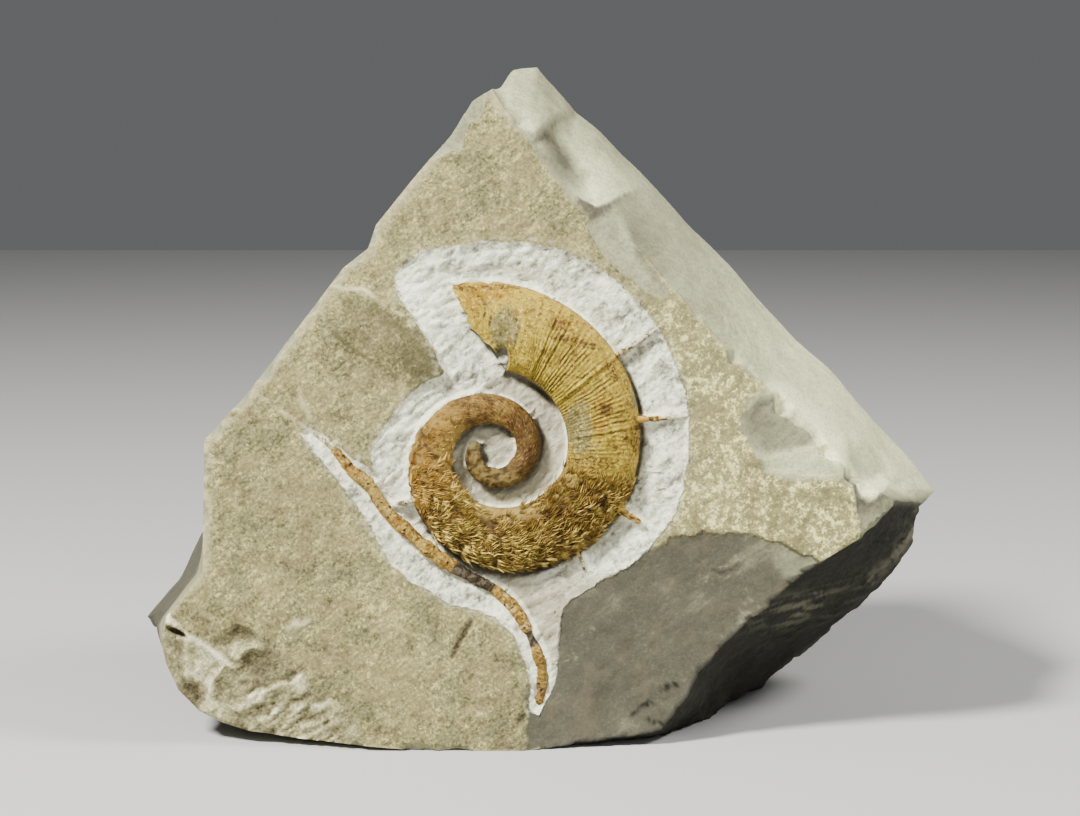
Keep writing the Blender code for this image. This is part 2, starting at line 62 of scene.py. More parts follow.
# Outlines (u, v, w) round the block, one behind the other.
FRONT_EDGE = [
    (-0.7, 89.2, 0.0), (2.5, 84.0, 0.0), (10.3, 78.4, 0.0), (23.3, 63.1, 0.0),
    (39.3, 45.2, 0.0), (55.8, 26.3, 0.0), (71.3, 11.5, 0.0), (89.2, -6.4, 0.0),
    (100.1, -12.4, 4.0), (94.4, -18.5, 2.0), (84.0, -24.6, 0.0), (73.2, -31.0, 0.0),
    (58.2, -43.2, 0.0), (47.9, -53.6, 0.0), (43.5, -62.2, 0.0), (40.5, -67.8, 0.0),
    (19.2, -71.5, 0.0), (6.1, -73.7, 0.0), (-23.3, -73.0, 0.0), (-47.9, -71.0, 0.0),
    (-60.9, -69.4, 0.0), (-68.0, -67.6, 1.0), (-74.4, -64.6, 1.5), (-79.4, -59.6, 2.0),
    (-82.4, -53.0, 2.5), (-83.2, -46.5, 3.0), (-81.5, -40.8, 3.0),
    (-71.7, -29.5, 0.0), (-71.7, -13.3, 0.0), (-71.5, 2.9, 0.0), (-60.9, 14.3, 0.0),
    (-47.7, 31.4, 0.0), (-37.3, 45.2, 0.0), (-31.2, 49.9, 0.0), (-29.2, 55.8, 0.0),
    (-20.1, 67.1, 0.0), (-10.8, 78.1, 0.0), (-5.7, 86.2, 0.0),
]
WAIST = [
    (4.0, 96.3, 18.0), (10.3, 98.4, 24.0), (20.4, 87.9, 32.0), (35.1, 75.3, 38.0),
    (53.6, 56.4, 40.0), (69.8, 38.1, 40.0), (89.2, 18.2, 42.0), (103.9, 2.6, 42.0),
    (115.3, -11.1, 44.0), (110.4, -15.4, 40.0), (103.5, -28.8, 36.0), (90.3, -40.6, 34.0),
    (74.2, -49.4, 34.0), (62.9, -57.5, 32.0), (55.1, -69.7, 30.0), (39.1, -73.2, 26.0),
    (7.1, -75.2, 30.0), (-22.9, -75.2, 32.0), (-46.9, -69.2, 34.0), (-62.9, -63.2, 30.0),
    (-80.9, -53.2, 28.0), (-86.9, -45.2, 30.0), (-76.9, -31.2, 30.0), (-72.9, -21.2, 32.0),
    (-68.9, 4.8, 34.0), (-58.9, 16.8, 34.0), (-44.9, 34.8, 34.0), (-27.9, 53.8, 32.0),
    (-16.9, 68.8, 30.0), (-6.9, 80.8, 26.0), (-0.9, 89.8, 20.0),
]
REAR = [
    (4.0, 94.8, 38.0), (11.0, 95.8, 42.0), (21.0, 84.8, 52.0), (35.0, 71.8, 58.0),
    (69.0, 34.8, 60.0), (101.0, 1.8, 58.0), (109.0, -13.2, 58.0), (110.8, -24.4, 56.0),
    (103.8, -35.4, 56.0), (94.6, -45.0, 58.0), (82.5, -54.9, 60.0), (69.2, -64.2, 54.0),
    (45.0, -71.2, 52.0), (9.0, -74.2, 56.0), (-23.0, -73.2, 56.0), (-47.0, -65.2, 58.0),
    (-63.0, -57.2, 58.0), (-83.0, -50.6, 56.0), (-92.6, -47.8, 57.0), (-94.5, -45.2, 57.0),
    (-85.9, -35.0, 58.0), (-71.0, -3.2, 58.0), (-67.0, 5.8, 58.0), (-43.0, 34.8, 54.0),
    (-16.0, 67.8, 48.0), (0.0, 88.8, 40.0),
]
BACK = [
    (3.0, 84.8, 50.0), (17.0, 76.8, 62.0), (45.0, 44.8, 72.0), (75.0, 10.8, 76.0),
    (89.0, -15.2, 72.0), (91.0, -27.2, 74.0), (67.0, -53.2, 76.0), (41.0, -69.2, 74.0),
    (-21.0, -69.2, 76.0), (-55.0, -51.2, 76.0), (-83.0, -37.2, 76.0), (-71.0, -17.2, 76.0),
    (-61.0, 6.8, 74.0), (-39.0, 30.8, 68.0), (-15.0, 62.8, 60.0),
]
BACK_DEPTH = 80.0
# Flat breaks over the upper left flank and the back: outward direction, and distance from
# the coil's middle.
FLAT_BREAKS = [
    ((-0.76, 0.60, 0.25), 60.0), ((-0.55, 0.55, 0.63), 70.0), ((-0.42, 0.12, 0.90), 86.4),
    ((0.10, 0.80, 0.59), 96.0), ((0.45, 0.45, 0.77), 87.0), ((0.35, -0.30, 0.89), 99.5),
    ((-0.10, -0.45, 0.89), 92.0), ((0.02, 0.05, 1.00), 77.0),
]

# Curved breaks: middle (u, v, w), outward direction, mouth radius, depth, paleness of the
# stone they laid open.
BREAKS = [
    ((55.3, -68.3, 0.0), (0.0, 0.0, -1.0), 48.4, 4.5, -0.14),
    # The two breaks on the underside are dark partly as painted shade, like the rest of it.
    ((88.0, -40.0, 22.0), (0.45, -0.75, -0.45), 15.0, 3.0, -0.45),
    ((62.0, -60.0, 24.0), (0.50, -0.75, -0.40), 12.0, 2.5, -0.45),
    ((-30.0, -8.0, 76.5), (-0.20, 0.00, 0.98), 24.0, 4.0, 0.30),
    ((42.0, 14.0, 77.0), (0.20, 0.25, 0.95), 28.0, 4.5, 0.35),
    ((30.0, -42.0, 78.0), (0.05, -0.20, 0.98), 24.0, 3.5, 0.30),
]
# A break with a wider mouth than this is the big smooth one.
SMOOTH_BREAK = 40.0
# Stone is broken back towards this place in the block.
BLOCK_HEART = (6.0, -6.0, 38.0)

# The ragged edge of the hollow that was cut round the fossils.
HOLLOW_EDGE = [
    (-24.8, 42.3), (-22.9, 46.2), (-18.2, 49.4), (-11.6, 50.6), (-1.7, 51.8), (8.6, 51.4),
    (16.0, 49.6), (23.3, 46.7), (29.5, 42.5), (35.6, 36.6), (40.5, 30.0), (44.2, 22.6),
    (46.9, 14.0), (47.9, 6.6), (47.7, -0.7), (46.4, -9.3), (43.5, -16.7), (39.3, -22.4),
    (33.7, -28.3), (25.1, -33.2), (18.4, -36.9), (16.2, -41.3), (16.0, -49.9), (15.7, -55.5),
    (13.8, -61.4), (10.8, -65.6), (8.6, -63.9), (8.8, -60.0), (8.1, -54.5), (6.9, -50.1),
    (4.2, -44.7), (0.2, -40.8), (-4.9, -38.8), (-11.5, -37.6), (-16.2, -34.2),
    (-20.6, -32.2), (-25.3, -27.8), (-28.0, -23.1), (-30.7, -18.4), (-34.6, -12.5),
    (-37.8, -8.6), (-41.3, -3.9), (-44.5, 0.0), (-47.7, 4.7), (-46.4, 6.1), (-42.5, 4.7),
    (-37.1, 0.0), (-30.2, -4.4), (-30.5, -0.7), (-29.2, 2.9), (-26.8, 7.1), (-21.4, 14.3),
    (-17.4, 17.0), (-12.8, 19.4), (-14.7, 24.8), (-18.2, 29.5), (-20.9, 34.2),
    (-23.3, 37.3),
]
# The hollow has a step at its ragged edge, then a slope down to its full depth.
HOLLOW_STEP = 0.6
HOLLOW_DEPTH = 3.2
HOLLOW_SLOPE = 12.0
# Ripples run over the right slope round this place.
RIPPLE_MIDDLE = (48.0, 35.0, 4.0)
# A low swell of the face at the upper left of the hollow.
SWELL_MIDDLE = (-24.6, 28.7)
SWELL_TILT = -36.0


def face_points(points):
    """Points (u, v, w) in millimetres on the fossil face, as metres in the model's frame."""
    points = np.asarray(points, dtype=float)
    sine, cosine = math.sin(FACE_LEAN), math.cos(FACE_LEAN)
    u, v, w = points.T
    x = COIL_MIDDLE[0] + u
    y = COIL_MIDDLE[1] + v * sine + w * cosine
    z = COIL_MIDDLE[2] + v * cosine - w * sine
    return np.stack([x, y, z], axis=1) * MM


def ease(value):
    """Smooth rise from 0 to 1."""
    value = np.clip(value, 0.0, 1.0)
    return value * value * (3.0 - 2.0 * value)


def cloud(points, size, octaves=1, shift=0.0):
    """Smooth random field over points, about -1 to 1, with lumps of one size."""
    points = np.asarray(points) / size + shift
    if points.shape[1] == 2:
        points = np.column_stack([points, np.full(len(points), shift)])
    if octaves == 1:
        return np.array([noise.noise(point) for point in points])
    return np.array([noise.fractal(point, 1.0, 2.0, octaves) for point in points])


def edge_distance(points, outline):
    """Distance from each point to a closed outline, positive inside it."""
    corners = np.array(outline)
    nearest = np.full(len(points), 1.0e9)
    inside = np.zeros(len(points), dtype=bool)
    for start, end in zip(corners, np.roll(corners, -1, axis=0)):
        run = end - start
        share = np.clip((points - start) @ run / (run @ run), 0.0, 1.0)
        gap = np.linalg.norm(points - start - share[:, None] * run, axis=1)
        nearest = np.minimum(nearest, gap)
        spans = (start[1] > points[:, 1]) != (end[1] > points[:, 1])
        rise = run[1] if run[1] else 1.0
        cross_u = start[0] + (points[:, 1] - start[1]) / rise * run[0]
        inside ^= spans & (points[:, 0] < cross_u)
    return np.where(inside, nearest, -nearest)


def finely(outline, spacing):
    """A closed outline with a point about every spacing."""
    points = []
    corners = np.array(outline)
    for start, end in zip(corners, np.roll(corners, -1, axis=0)):
        count = max(1, round(float(np.linalg.norm(end - start)) / spacing))
        points += [start + (end - start) * i / count for i in range(count)]
    return np.array(points)


def ring_at(outline, directions):
    """An outline's points in the given directions from the coil's middle."""
    corners = np.array(outline)
    angle = np.unwrap(np.arctan2(corners[:, 1], corners[:, 0]))
    if angle[-1] < angle[0]:
        corners, angle = corners[::-1], angle[::-1]
    corners = np.vstack([corners, corners[:1]])
    angle = np.append(angle, angle[0] + math.tau)
    turn = (directions - angle[0]) % math.tau + angle[0]
    i = np.clip(np.searchsorted(angle, turn, side="right") - 1, 0, len(angle) - 2)
    start, end = corners[i], corners[i + 1]
    across = np.stack([-np.sin(turn), np.cos(turn)], axis=1)
    side_start = (start[:, :2] * across).sum(axis=1)
    side_end = (end[:, :2] * across).sum(axis=1)
    share = side_start / (side_start - side_end)
    return start + (end - start) * share[:, None]


def coil_gap(flat):
    """Distance in the face from the coil's band, negative on it."""
    radius = np.hypot(flat[:, 0], flat[:, 1])
    angle = np.degrees(np.arctan2(flat[:, 1], flat[:, 0]))
    gap = np.full(len(flat), 99.0)
    for lap in (0.0, -360.0, -720.0, 360.0):
        turn = angle + lap
        inner, outer = smooth_curve(COIL, np.clip(turn, COIL[0][0], COIL[-1][0])).T
        away = np.maximum(inner - radius, radius - outer)
        past = np.maximum(COIL[0][0] - turn, turn - mouth_turn(radius))
        away = np.maximum(away, np.radians(past) * radius)
        gap = np.minimum(gap, away)
    return gap


def line_gap(flat, line):
    """Distance in the face from an open line of points."""
    line = np.array(line)
    nearest = np.full(len(flat), 99.0)
    for start, end in zip(line[:-1], line[1:]):
        run = end - start
        share = np.clip((flat - start) @ run / (run @ run), 0.0, 1.0)
        nearest = np.minimum(nearest, np.linalg.norm(flat - start - share[:, None] * run, axis=1))
    return nearest


def soft_line(flat, line, width):
    """A line drawn on the face, 1 along its middle and fading over its width."""
    return np.exp(-((line_gap(flat, line) / width) ** 2))


# The coil: turn angle in degrees, inner radius, outer radius.
COIL = [
    (-570.0, 4.0, 6.2), (-525.0, 3.4, 7.7), (-480.0, 4.0, 8.5), (-435.0, 4.2, 9.2),
    (-390.0, 4.5, 10.1), (-345.0, 5.4, 11.6), (-300.0, 6.3, 13.0), (-255.0, 7.3, 14.9),
    (-210.0, 9.1, 18.3), (-165.0, 11.4, 22.3), (-120.0, 12.9, 26.2), (-75.0, 14.2, 29.8),
    (-30.0, 16.6, 33.4), (15.0, 18.3, 36.7), (60.0, 19.5, 39.8), (105.0, 20.3, 43.0),
]
# Where the last turn is broken off at the mouth.
MOUTH_BREAK = [
    (-10.6, 41.7), (-7.9, 34.9), (-5.6, 30.7), (-2.5, 27.5), (-0.5, 25.1), (1.2, 22.1),
    (2.5, 19.9),
]
# The slender shell: place in the face, radius.
SLENDER = [
    (-45.2, 5.6, 0.8), (-39.8, 1.2, 1.2), (-35.1, -4.7, 1.5), (-31.2, -7.9, 1.6),
    (-26.8, -14.5, 1.6), (-21.4, -19.7, 1.7), (-16.2, -24.3, 1.7), (-11.5, -27.4, 1.6),
    (-5.6, -31.0, 1.3), (-1.0, -33.4, 1.2), (1.7, -35.6, 1.1), (4.9, -38.8, 1.2),
    (7.6, -43.5, 1.2), (10.1, -48.6, 1.1), (11.3, -53.3, 1.1), (11.5, -58.0, 1.1),
    (10.4, -62.6, 0.8),
]

# Spines of the coil: root, tip, radius at the root and at the tip, how rusty it is.
SPINES = [
    ((27.6, 22.2, 1.4), (40.0, 30.4, 0.5), 0.8, 0.40, 0.25),
    ((32.5, 7.7, 1.2), (47.4, 8.8, 0.6), 1.0, 0.3, 0.55),
    ((28.0, -12.2, 1.0), (35.8, -17.4, 0.8), 1.2, 0.75, 1.3),
    ((19.4, -20.9, 1.4), (22.1, -29.3, 1.0), 0.7, 0.35, 0.5),
    ((-17.2, -11.6, 1.4), (-24.4, -12.7, 1.4), 0.8, 0.4, 0.35),
]


def smooth_curve(knots, places):
    """A smooth curve through knots (place, value, value, ...), read at the given places."""
    knots = np.array(knots)
    x, values = knots[:, 0], knots[:, 1:]
    slopes = np.gradient(values, x, axis=0)
    places = np.asarray(places, dtype=float)
    i = np.clip(np.searchsorted(x, places) - 1, 0, len(x) - 2)
    span = (x[i + 1] - x[i])[:, None]
    t = (places - x[i])[:, None] / span
    return (
        (2 * t**3 - 3 * t**2 + 1) * values[i] + (t**3 - 2 * t**2 + t) * span * slopes[i]
        + (3 * t**2 - 2 * t**3) * values[i + 1] + (t**3 - t**2) * span * slopes[i + 1]
    )


def mouth_turn(radius):
    """Turn angle of the broken mouth at a distance from the coil's middle."""
    points = sorted((math.hypot(u, v), math.degrees(math.atan2(v, u))) for u, v in MOUTH_BREAK)
    return np.interp(radius, [p[0] for p in points], [p[1] for p in points])


def beside_coil(flat):
    """Gap to the coil, and where the stone was left banked up against its edge (0 to 1), on the
    edges that face the key lamp.
    """
    step = 0.3
    gap = coil_gap(flat)
    right = coil_gap(flat + (step, 0.0)) - gap
    above = coil_gap(flat + (0.0, step)) - gap
    return gap, ease(((-0.5 * right + 0.85 * above) / step + 0.25) / 0.5)


def slender_gap(flat):
    """Distance in the face from the slender shell's middle line."""
    return line_gap(flat, np.array(SLENDER)[:, :2])


def between_turns(flat):
    """Where the stone lies between two turns of the coil, 0 to 1."""
    radius = np.hypot(flat[:, 0], flat[:, 1])
    turn = np.degrees(np.arctan2(flat[:, 1], flat[:, 0]))
    outer = np.interp(turn, (-180.0, -150.0, -60.0, 30.0, 60.0, 84.0, 120.0, 180.0),
                      (9.0, 11.8, 15.0, 18.5, 19.0, 17.0, 12.0, 9.0))
    return 1.0 - ease((radius - outer + 0.5) / 2.5)


def hollow_inward(flat):
    """How far inside the hollow's ragged edge each point lies."""
    ragged = 0.55 * cloud(flat, 4.0, 1, 3.1) + 0.3 * cloud(flat, 1.4, 1, 8.2)
    return edge_distance(flat, HOLLOW_EDGE) + ragged


def turned(flat, middle, tilt):
    """Coordinates along and across a line through middle, tilted by an angle in degrees."""
    offset = flat - np.array(middle)
    sine, cosine = math.sin(math.radians(tilt)), math.cos(math.radians(tilt))
    return offset[:, 0] * cosine + offset[:, 1] * sine, offset[:, 1] * cosine - offset[:, 0] * sine


def strokes(flat, tilt, length, width, octaves, shift):
    """Random field drawn out along one direction."""
    along, over = turned(flat, (0.0, 0.0), tilt)
    return cloud(np.column_stack([along / length, over / width]), 1.0, octaves, shift)


def tool_marks(flat):
    """Scratches, lumps and crumbs that the air chisel left."""
    turn = np.where(flat[:, 1] > 30.0, 20.0, 45.0) + 20.0 * cloud(flat, 14.0, 1, 9.4)
    along = flat[:, 0] * np.cos(np.radians(turn)) + flat[:, 1] * np.sin(np.radians(turn))
    over = flat[:, 1] * np.cos(np.radians(turn)) - flat[:, 0] * np.sin(np.radians(turn))
    scratches = 0.4 - np.abs(cloud(np.column_stack([along / 7.0, over / 1.9]), 1.0, 3, 1.3))
    lumps = 0.4 - np.abs(cloud(flat, 4.5, 3, 6.1))
    crumbs = cloud(flat, 0.9, 2, 4.4)
    return scratches + 0.45 * lumps + 0.12 * crumbs + 0.8 * cloud(flat, 7.0, 2, 2.6)


def chiselled_depth(flat, inward, gap, lit):
    """How deep the hollow was cut, with its tool marks and the stone left at the shells."""
    within = ease(inward / 1.5)
    ledge = np.exp(-((flat[:, 0] + 12.0) ** 2 + (flat[:, 1] - 19.0) ** 2) / 50.0)
    step = (HOLLOW_STEP + 1.2 * ledge) * ease(inward / 0.7)
    dish = (HOLLOW_DEPTH - HOLLOW_STEP) * ease(inward / HOLLOW_SLOPE)
    trough = 0.7 * ease(1.0 - slender_gap(flat) / 5.0) * within
    carved = step + dish + trough
    carved += tool_marks(flat) * within

    near = (1.0 - ease(np.maximum(gap, 0.0) / 1.6)) * within
    carved += 1.3 * between_turns(flat)
    carved -= (1.2 + 0.4 * cloud(flat, 3.0, 2, 8.8)) * near * lit
    carved += 1.2 * (1.0 - ease(np.abs(gap - 0.2) / 1.3)) * (1.0 - lit) * within
    for root, tip, *_ in SPINES:
        line = np.array([root, tip])
        near = 1.0 - ease((line_gap(flat, line[:, :2]) - 0.5) / 1.6)
        run = line[1] - line[0]
        share = np.clip((flat - line[0, :2]) @ run[:2] / (run[:2] @ run[:2]), 0.0, 1.0)
        beside = line[0, 2] + share * run[2] + 0.15
        carved += near * ease(inward) * np.minimum(beside - carved, 0.0)
    return carved


def front_relief(flat, inward, gap, lit):
    """Depth w of the bedding face, with the hollow and the low swell."""
    depth = -0.35 * cloud(flat, 26.0, 2, 5.5) - 0.16 * cloud(flat, 5.0, 2, 2.5)
    weathered = ease(-inward / 0.8 + 0.5)
    fabric = 0.07 * strokes(flat, 40.0, 4.0, 1.2, 3, 7.7) + 0.08 * cloud(flat, 1.5, 3, 4.1)
    depth -= weathered * (fabric + 0.05)
    depth += chiselled_depth(flat, inward, gap, lit)
    along, over = turned(flat, SWELL_MIDDLE, SWELL_TILT)
    spread = (along / 13.0) ** 2 + (over / 7.5) ** 2
    return depth - 2.3 * np.exp(-(spread**2)) * weathered


# Facets of the lower left corner, as lines of points: place in the face, depth of stone
# lost, extra paleness.
CORNER_LINES = [
    [(-89.9, -33.4, 0, 0), (-84.5, -36.9, 0, 0), (-81.1, -39.1, 0, 0), (-78.4, -40.8, 0, 0.1),
     (-75.9, -43.0, 0, 0.1), (-73.5, -44.7, 0, 0), (-71.5, -45.7, 0, 0), (-69.5, -46.2, 0, 0),
     (-66.8, -44.0, 0, 0), (-63.4, -42.1, 0, 0), (-59.5, -43.1, 0, 0), (-58.0, -45.2, 0, 0),
     (-55.8, -46.9, 0, 0), (-52.8, -48.9, 0, 0), (-50.1, -52.3, 0, 0), (-46.7, -53.3, 0, 0.1),
     (-44.5, -55.8, 0, 0), (-40.5, -59.2, 0, 0), (-36.4, -62.9, 0, 0), (-32.7, -67.8, 0, 0),
     (-29.2, -75.2, 0, 0)],
    [(-84.8, -37.8, 4.5, 0.6), (-82.8, -40.8, 2, 1), (-80.3, -40.0, 0.9, 1),
     (-77.9, -41.8, 0.4, 0.7), (-77.1, -43.5, 0.6, 0.4)],
    [(-82.8, -43.7, 3.2, 0.1), (-79.9, -45.7, 2.2, 0.1), (-76.9, -46.4, 1.4, 0.3)],
    [(-74.9, -45.6, 0.4, 0.9), (-73.5, -45.6, 0.2, 0.8), (-70.8, -47.7, 0.6, 0.8),
     (-67.3, -50.6, 0.8, 0.9), (-65.8, -52.1, 1, 1)],
    [(-75.2, -47.2, 1.4, 0.35), (-72.7, -48.2, 1.5, 0.35), (-69.8, -50.6, 1.9, 0.35),
     (-67.8, -52.6, 2.3, 0.1)],
    [(-74.9, -49.9, 3, 0.1), (-73.2, -52.1, 3.4, 0.35), (-71.0, -54.5, 3.8, 0.25),
     (-69.5, -55.3, 3.8, -0.1)],
    [(-75.4, -55.0, 5.4, 0.6), (-72.7, -58.0, 6.2, 0.5)],
    [(-76.2, -47.7, 1.8, 0.3), (-76.4, -49.9, 3.2, 0.3), (-76.4, -53.1, 4.6, 0.4),
     (-76.7, -56.0, 6.2, 0.5)],
    [(-82.3, -46.7, 5, 0), (-81.1, -51.1, 6.8, -0.05), (-79.1, -55.8, 8.2, 0)],
    [(-77.9, -48.6, 4, -0.15), (-77.9, -53.1, 5.8, -0.15)],
    [(-90.0, -43.0, 7, 0.1), (-88.0, -51.0, 9, 0), (-85.5, -58.0, 10.5, 0.1),
     (-81.0, -64.5, 10.5, 0.1), (-76.0, -69.0, 10.5, 0.3), (-70.0, -73.0, 10, 0.4),
     (-62.2, -76.0, 9, 0.3), (-52.3, -78.0, 7.5, 0.2), (-42.5, -79.5, 5, 0.1),
     (-35.1, -79.5, 2.6, 0.1)],
    [(-76.9, -57.7, 7.8, -0.8), (-74.7, -59.2, 8.4, -0.9), (-73.5, -60.9, 8.6, -0.7)],
    [(-65.8, -52.1, 1, 1), (-68.6, -54.5, 2.4, 0.7), (-69.9, -56.5, 3.8, 0.6),
     (-70.8, -59.2, 5.4, 0.6), (-71.7, -61.4, 7, 0.5)],
    [(-66.3, -53.3, 1.8, -0.15), (-68.3, -55.8, 3.2, -0.15), (-69.3, -58.5, 4.6, -0.1),
     (-69.8, -61.2, 6.2, -0.05)],
    [(-63.6, -54.1, 1.8, -0.1), (-64.1, -57.0, 3, -0.05), (-65.1, -60.2, 4.2, 0.05),
     (-66.6, -62.9, 6, 0.2)],
    [(-65.8, -44.7, 0.9, -0.1), (-63.1, -43.2, 1.2, -0.7), (-60.2, -44.0, 1.4, -0.3),
     (-59.0, -45.7, 1.5, -0.5)],
    [(-68.3, -46.9, 1.2, 0.05), (-66.6, -47.9, 1.8, -0.1), (-64.6, -46.9, 2.4, 0.1),
     (-61.9, -46.2, 2.4, -0.2), (-60.7, -46.9, 2, -0.1)],
    [(-69.3, -47.9, 0.8, 0.1), (-67.1, -49.9, 0.8, 0.1), (-65.1, -51.1, 0.9, 0.2),
     (-63.6, -50.9, 1, 0.3), (-62.4, -49.6, 0.7, 0.25), (-61.4, -48.3, 0.4, 0.25),
     (-58.7, -47.9, 0.2, 0.3), (-56.8, -47.5, 0.1, 0.2)],
    [(-62.9, -51.8, 1.6, -0.7), (-61.4, -50.2, 1.8, -0.75), (-59.5, -49.1, 1.7, -0.45),
     (-56.3, -49.0, 1.2, -0.3), (-53.6, -50.4, 1, -0.2)],
    [(-60.2, -52.8, 3.2, -0.45), (-58.2, -52.6, 3.2, -0.4), (-55.3, -53.1, 2.6, -0.35),
     (-51.8, -54.1, 1.4, -0.3)],
    [(-58.7, -55.5, 3.4, -0.35), (-56.5, -57.5, 3.2, -0.8), (-53.6, -56.3, 2.4, -0.35),
     (-50.6, -56.3, 1.6, -0.9), (-49.1, -55.0, 1, -0.6), (-47.7, -54.2, 0.5, -0.3)],
    [(-59.2, -57.5, 2.6, 0.15), (-57.2, -58.7, 2.4, 0.3), (-55.3, -58.5, 1.8, 0.4),
     (-52.6, -57.2, 1.2, 0.4), (-50.6, -57.2, 0.8, 0.3)],
    [(-49.4, -56.8, 0.5, 0.6), (-47.2, -54.8, 0.2, 0.75), (-45.9, -56.3, 0.1, 0.6),
     (-46.9, -58.7, 0.6, 0.6)],
    [(-47.9, -60.0, 1.6, -0.2), (-45.0, -59.7, 1, -0.4), (-42.8, -60.4, 0.6, -0.5)],
    [(-63.6, -63.9, 5, 0.4), (-60.2, -62.4, 3.8, 0.5), (-56.8, -60.4, 2.8, 0.6),
     (-53.8, -59.5, 2.2, 0.3), (-50.6, -59.5, 1.8, 0.1)],
    [(-62.7, -65.4, 5.6, -0.35), (-59.2, -63.9, 4.6, -0.4), (-55.3, -62.2, 3.6, -0.3),
     (-50.4, -61.4, 2.6, -0.2), (-45.5, -61.7, 1.6, -0.2)],
    [(-60.2, -66.6, 5.6, 0.3), (-55.8, -64.6, 4.2, 0.35), (-50.4, -63.4, 3, 0.4),
     (-45.5, -63.1, 2, 0.5), (-41.5, -61.7, 1, 0.5)],
    [(-57.2, -68.6, 5.8, -0.3), (-51.8, -66.1, 4, -0.2), (-46.4, -65.1, 2.6, -0.2),
     (-40.5, -64.9, 1.4, -0.1)],
    [(-52.8, -70.5, 5.4, 0.2), (-46.9, -68.1, 3.4, 0.2), (-40.5, -67.8, 2, 0.15)],
]
# Bowls in the corner: middle, tilt, half length, half width.
CORNER_BOWLS = [((-64.2, -46.6), -25.0, 6.5, 3.6), ((-56.4, -52.6), -38.0, 8.0, 4.2)]
# Narrow cuts: middle, tilt, half length, half width, how much they widen along it.
NOTCHES = [((-78.8, -44.4), -22.0, 3.2, 1.0, 0.0)]
GROOVES = [((-8.2, -45.7), 61.0, 7.2, 1.1, 0.4), ((6.4, -65.6), 50.0, 2.6, 1.0, 0.4)]


def between_lines(flat, lines):
    """Values read from flat facets stretched between lines of points (u, v, value, value)."""
    corners = [corner for line in lines for corner in line]
    edges, first = [], 0
    for line in lines:
        edges += [(first + i, first + i + 1) for i in range(len(line) - 1)]
        first += len(line)
    found = delaunay_2d_cdt([Vector(corner[:2]) for corner in corners], edges, [], 0, 1.0e-4)
    places = np.array([tuple(place) for place in found[0]])
    known = np.array([corners[source[0]][2:] for source in found[3]])
    values = np.zeros((len(flat), 2))
    for triangle in found[2]:
        a, b, c = places[list(triangle)]
        share = np.linalg.solve(np.column_stack([b - a, c - a]), (flat - a).T)
        inside = (share.min(axis=0) > -1.0e-6) & (share.sum(axis=0) < 1.0 + 1.0e-6)
        weights = np.vstack([1.0 - share.sum(axis=0), share])[:, inside]
        values[inside] = weights.T @ known[list(triangle)]
    return values


def narrow_cuts(flat, table):
    """How far each point lies inside narrow cuts, 1 at the middle of one."""
    inside = np.zeros(len(flat))
    for middle, tilt, length, width, widening in table:
        along, over = turned(flat, middle, tilt)
        half = width * (1.0 + widening * along / length)
        inside = np.maximum(inside, 1.0 - (along / length) ** 2 - (over / half) ** 2)
    return inside


def lower_left_corner(flat):
    """Extra depth and paleness of the broken corner, and of the narrow cuts in the face; its deeper
    streaks and the cuts are darkened as painted shade.
    """
    sway = 0.45 * np.column_stack([cloud(flat, 5.0, 3, 6.2), cloud(flat, 5.0, 3, 8.3)])
    facets, tone = between_lines(flat + sway, CORNER_LINES).T
    bowls = np.zeros(len(flat))
    for middle, tilt, length, width in CORNER_BOWLS:
        along, over = turned(flat, middle, tilt)
        bowls = np.maximum(bowls, ease(1.5 - (along / length) ** 2 - (over / width) ** 2))
    right_of_ridge = ease((flat[:, 0] + 0.45 * (flat[:, 1] + 52.0) + 65.5) / 1.5)
    torn = ease(facets - 0.8) * right_of_ridge * (1.0 - bowls)
    streaks = strokes(flat, 30.0, 4.0, 0.9, 3, 3.7)
    creases = np.abs(strokes(flat, 30.0, 8.0, 2.6, 2, 2.9)) - 0.25
    fading = 1.0 - 0.7 * ease((flat[:, 0] + 54.0) / 8.0)
    facets += torn * (0.6 * streaks + 1.1 * creases * fading)
    facets += 0.22 * ease(facets / 0.6) * (1.0 - 0.6 * bowls) * cloud(flat, 1.8, 3, 2.9)
    # Painted shade: the streaks are darker where they are cut deeper.
    tone = np.where(tone < 0.0, 0.65 * tone, tone) - 0.55 * torn * streaks
    tone += 0.25 * ease(facets / 0.6) * (1.0 - bowls) * cloud(flat, 2.4, 3, 4.9)
    notch, groove = narrow_cuts(flat, NOTCHES), narrow_cuts(flat, GROOVES)
    # Painted shade: darker inside the narrow cuts.
    return facets + 2.8 * notch**0.5 + 0.6 * groove, tone - 1.6 * notch - 0.75 * groove**0.5


# Middle of the broad stain on the swell.
STAIN_MIDDLE = (-26.3, 28.3)
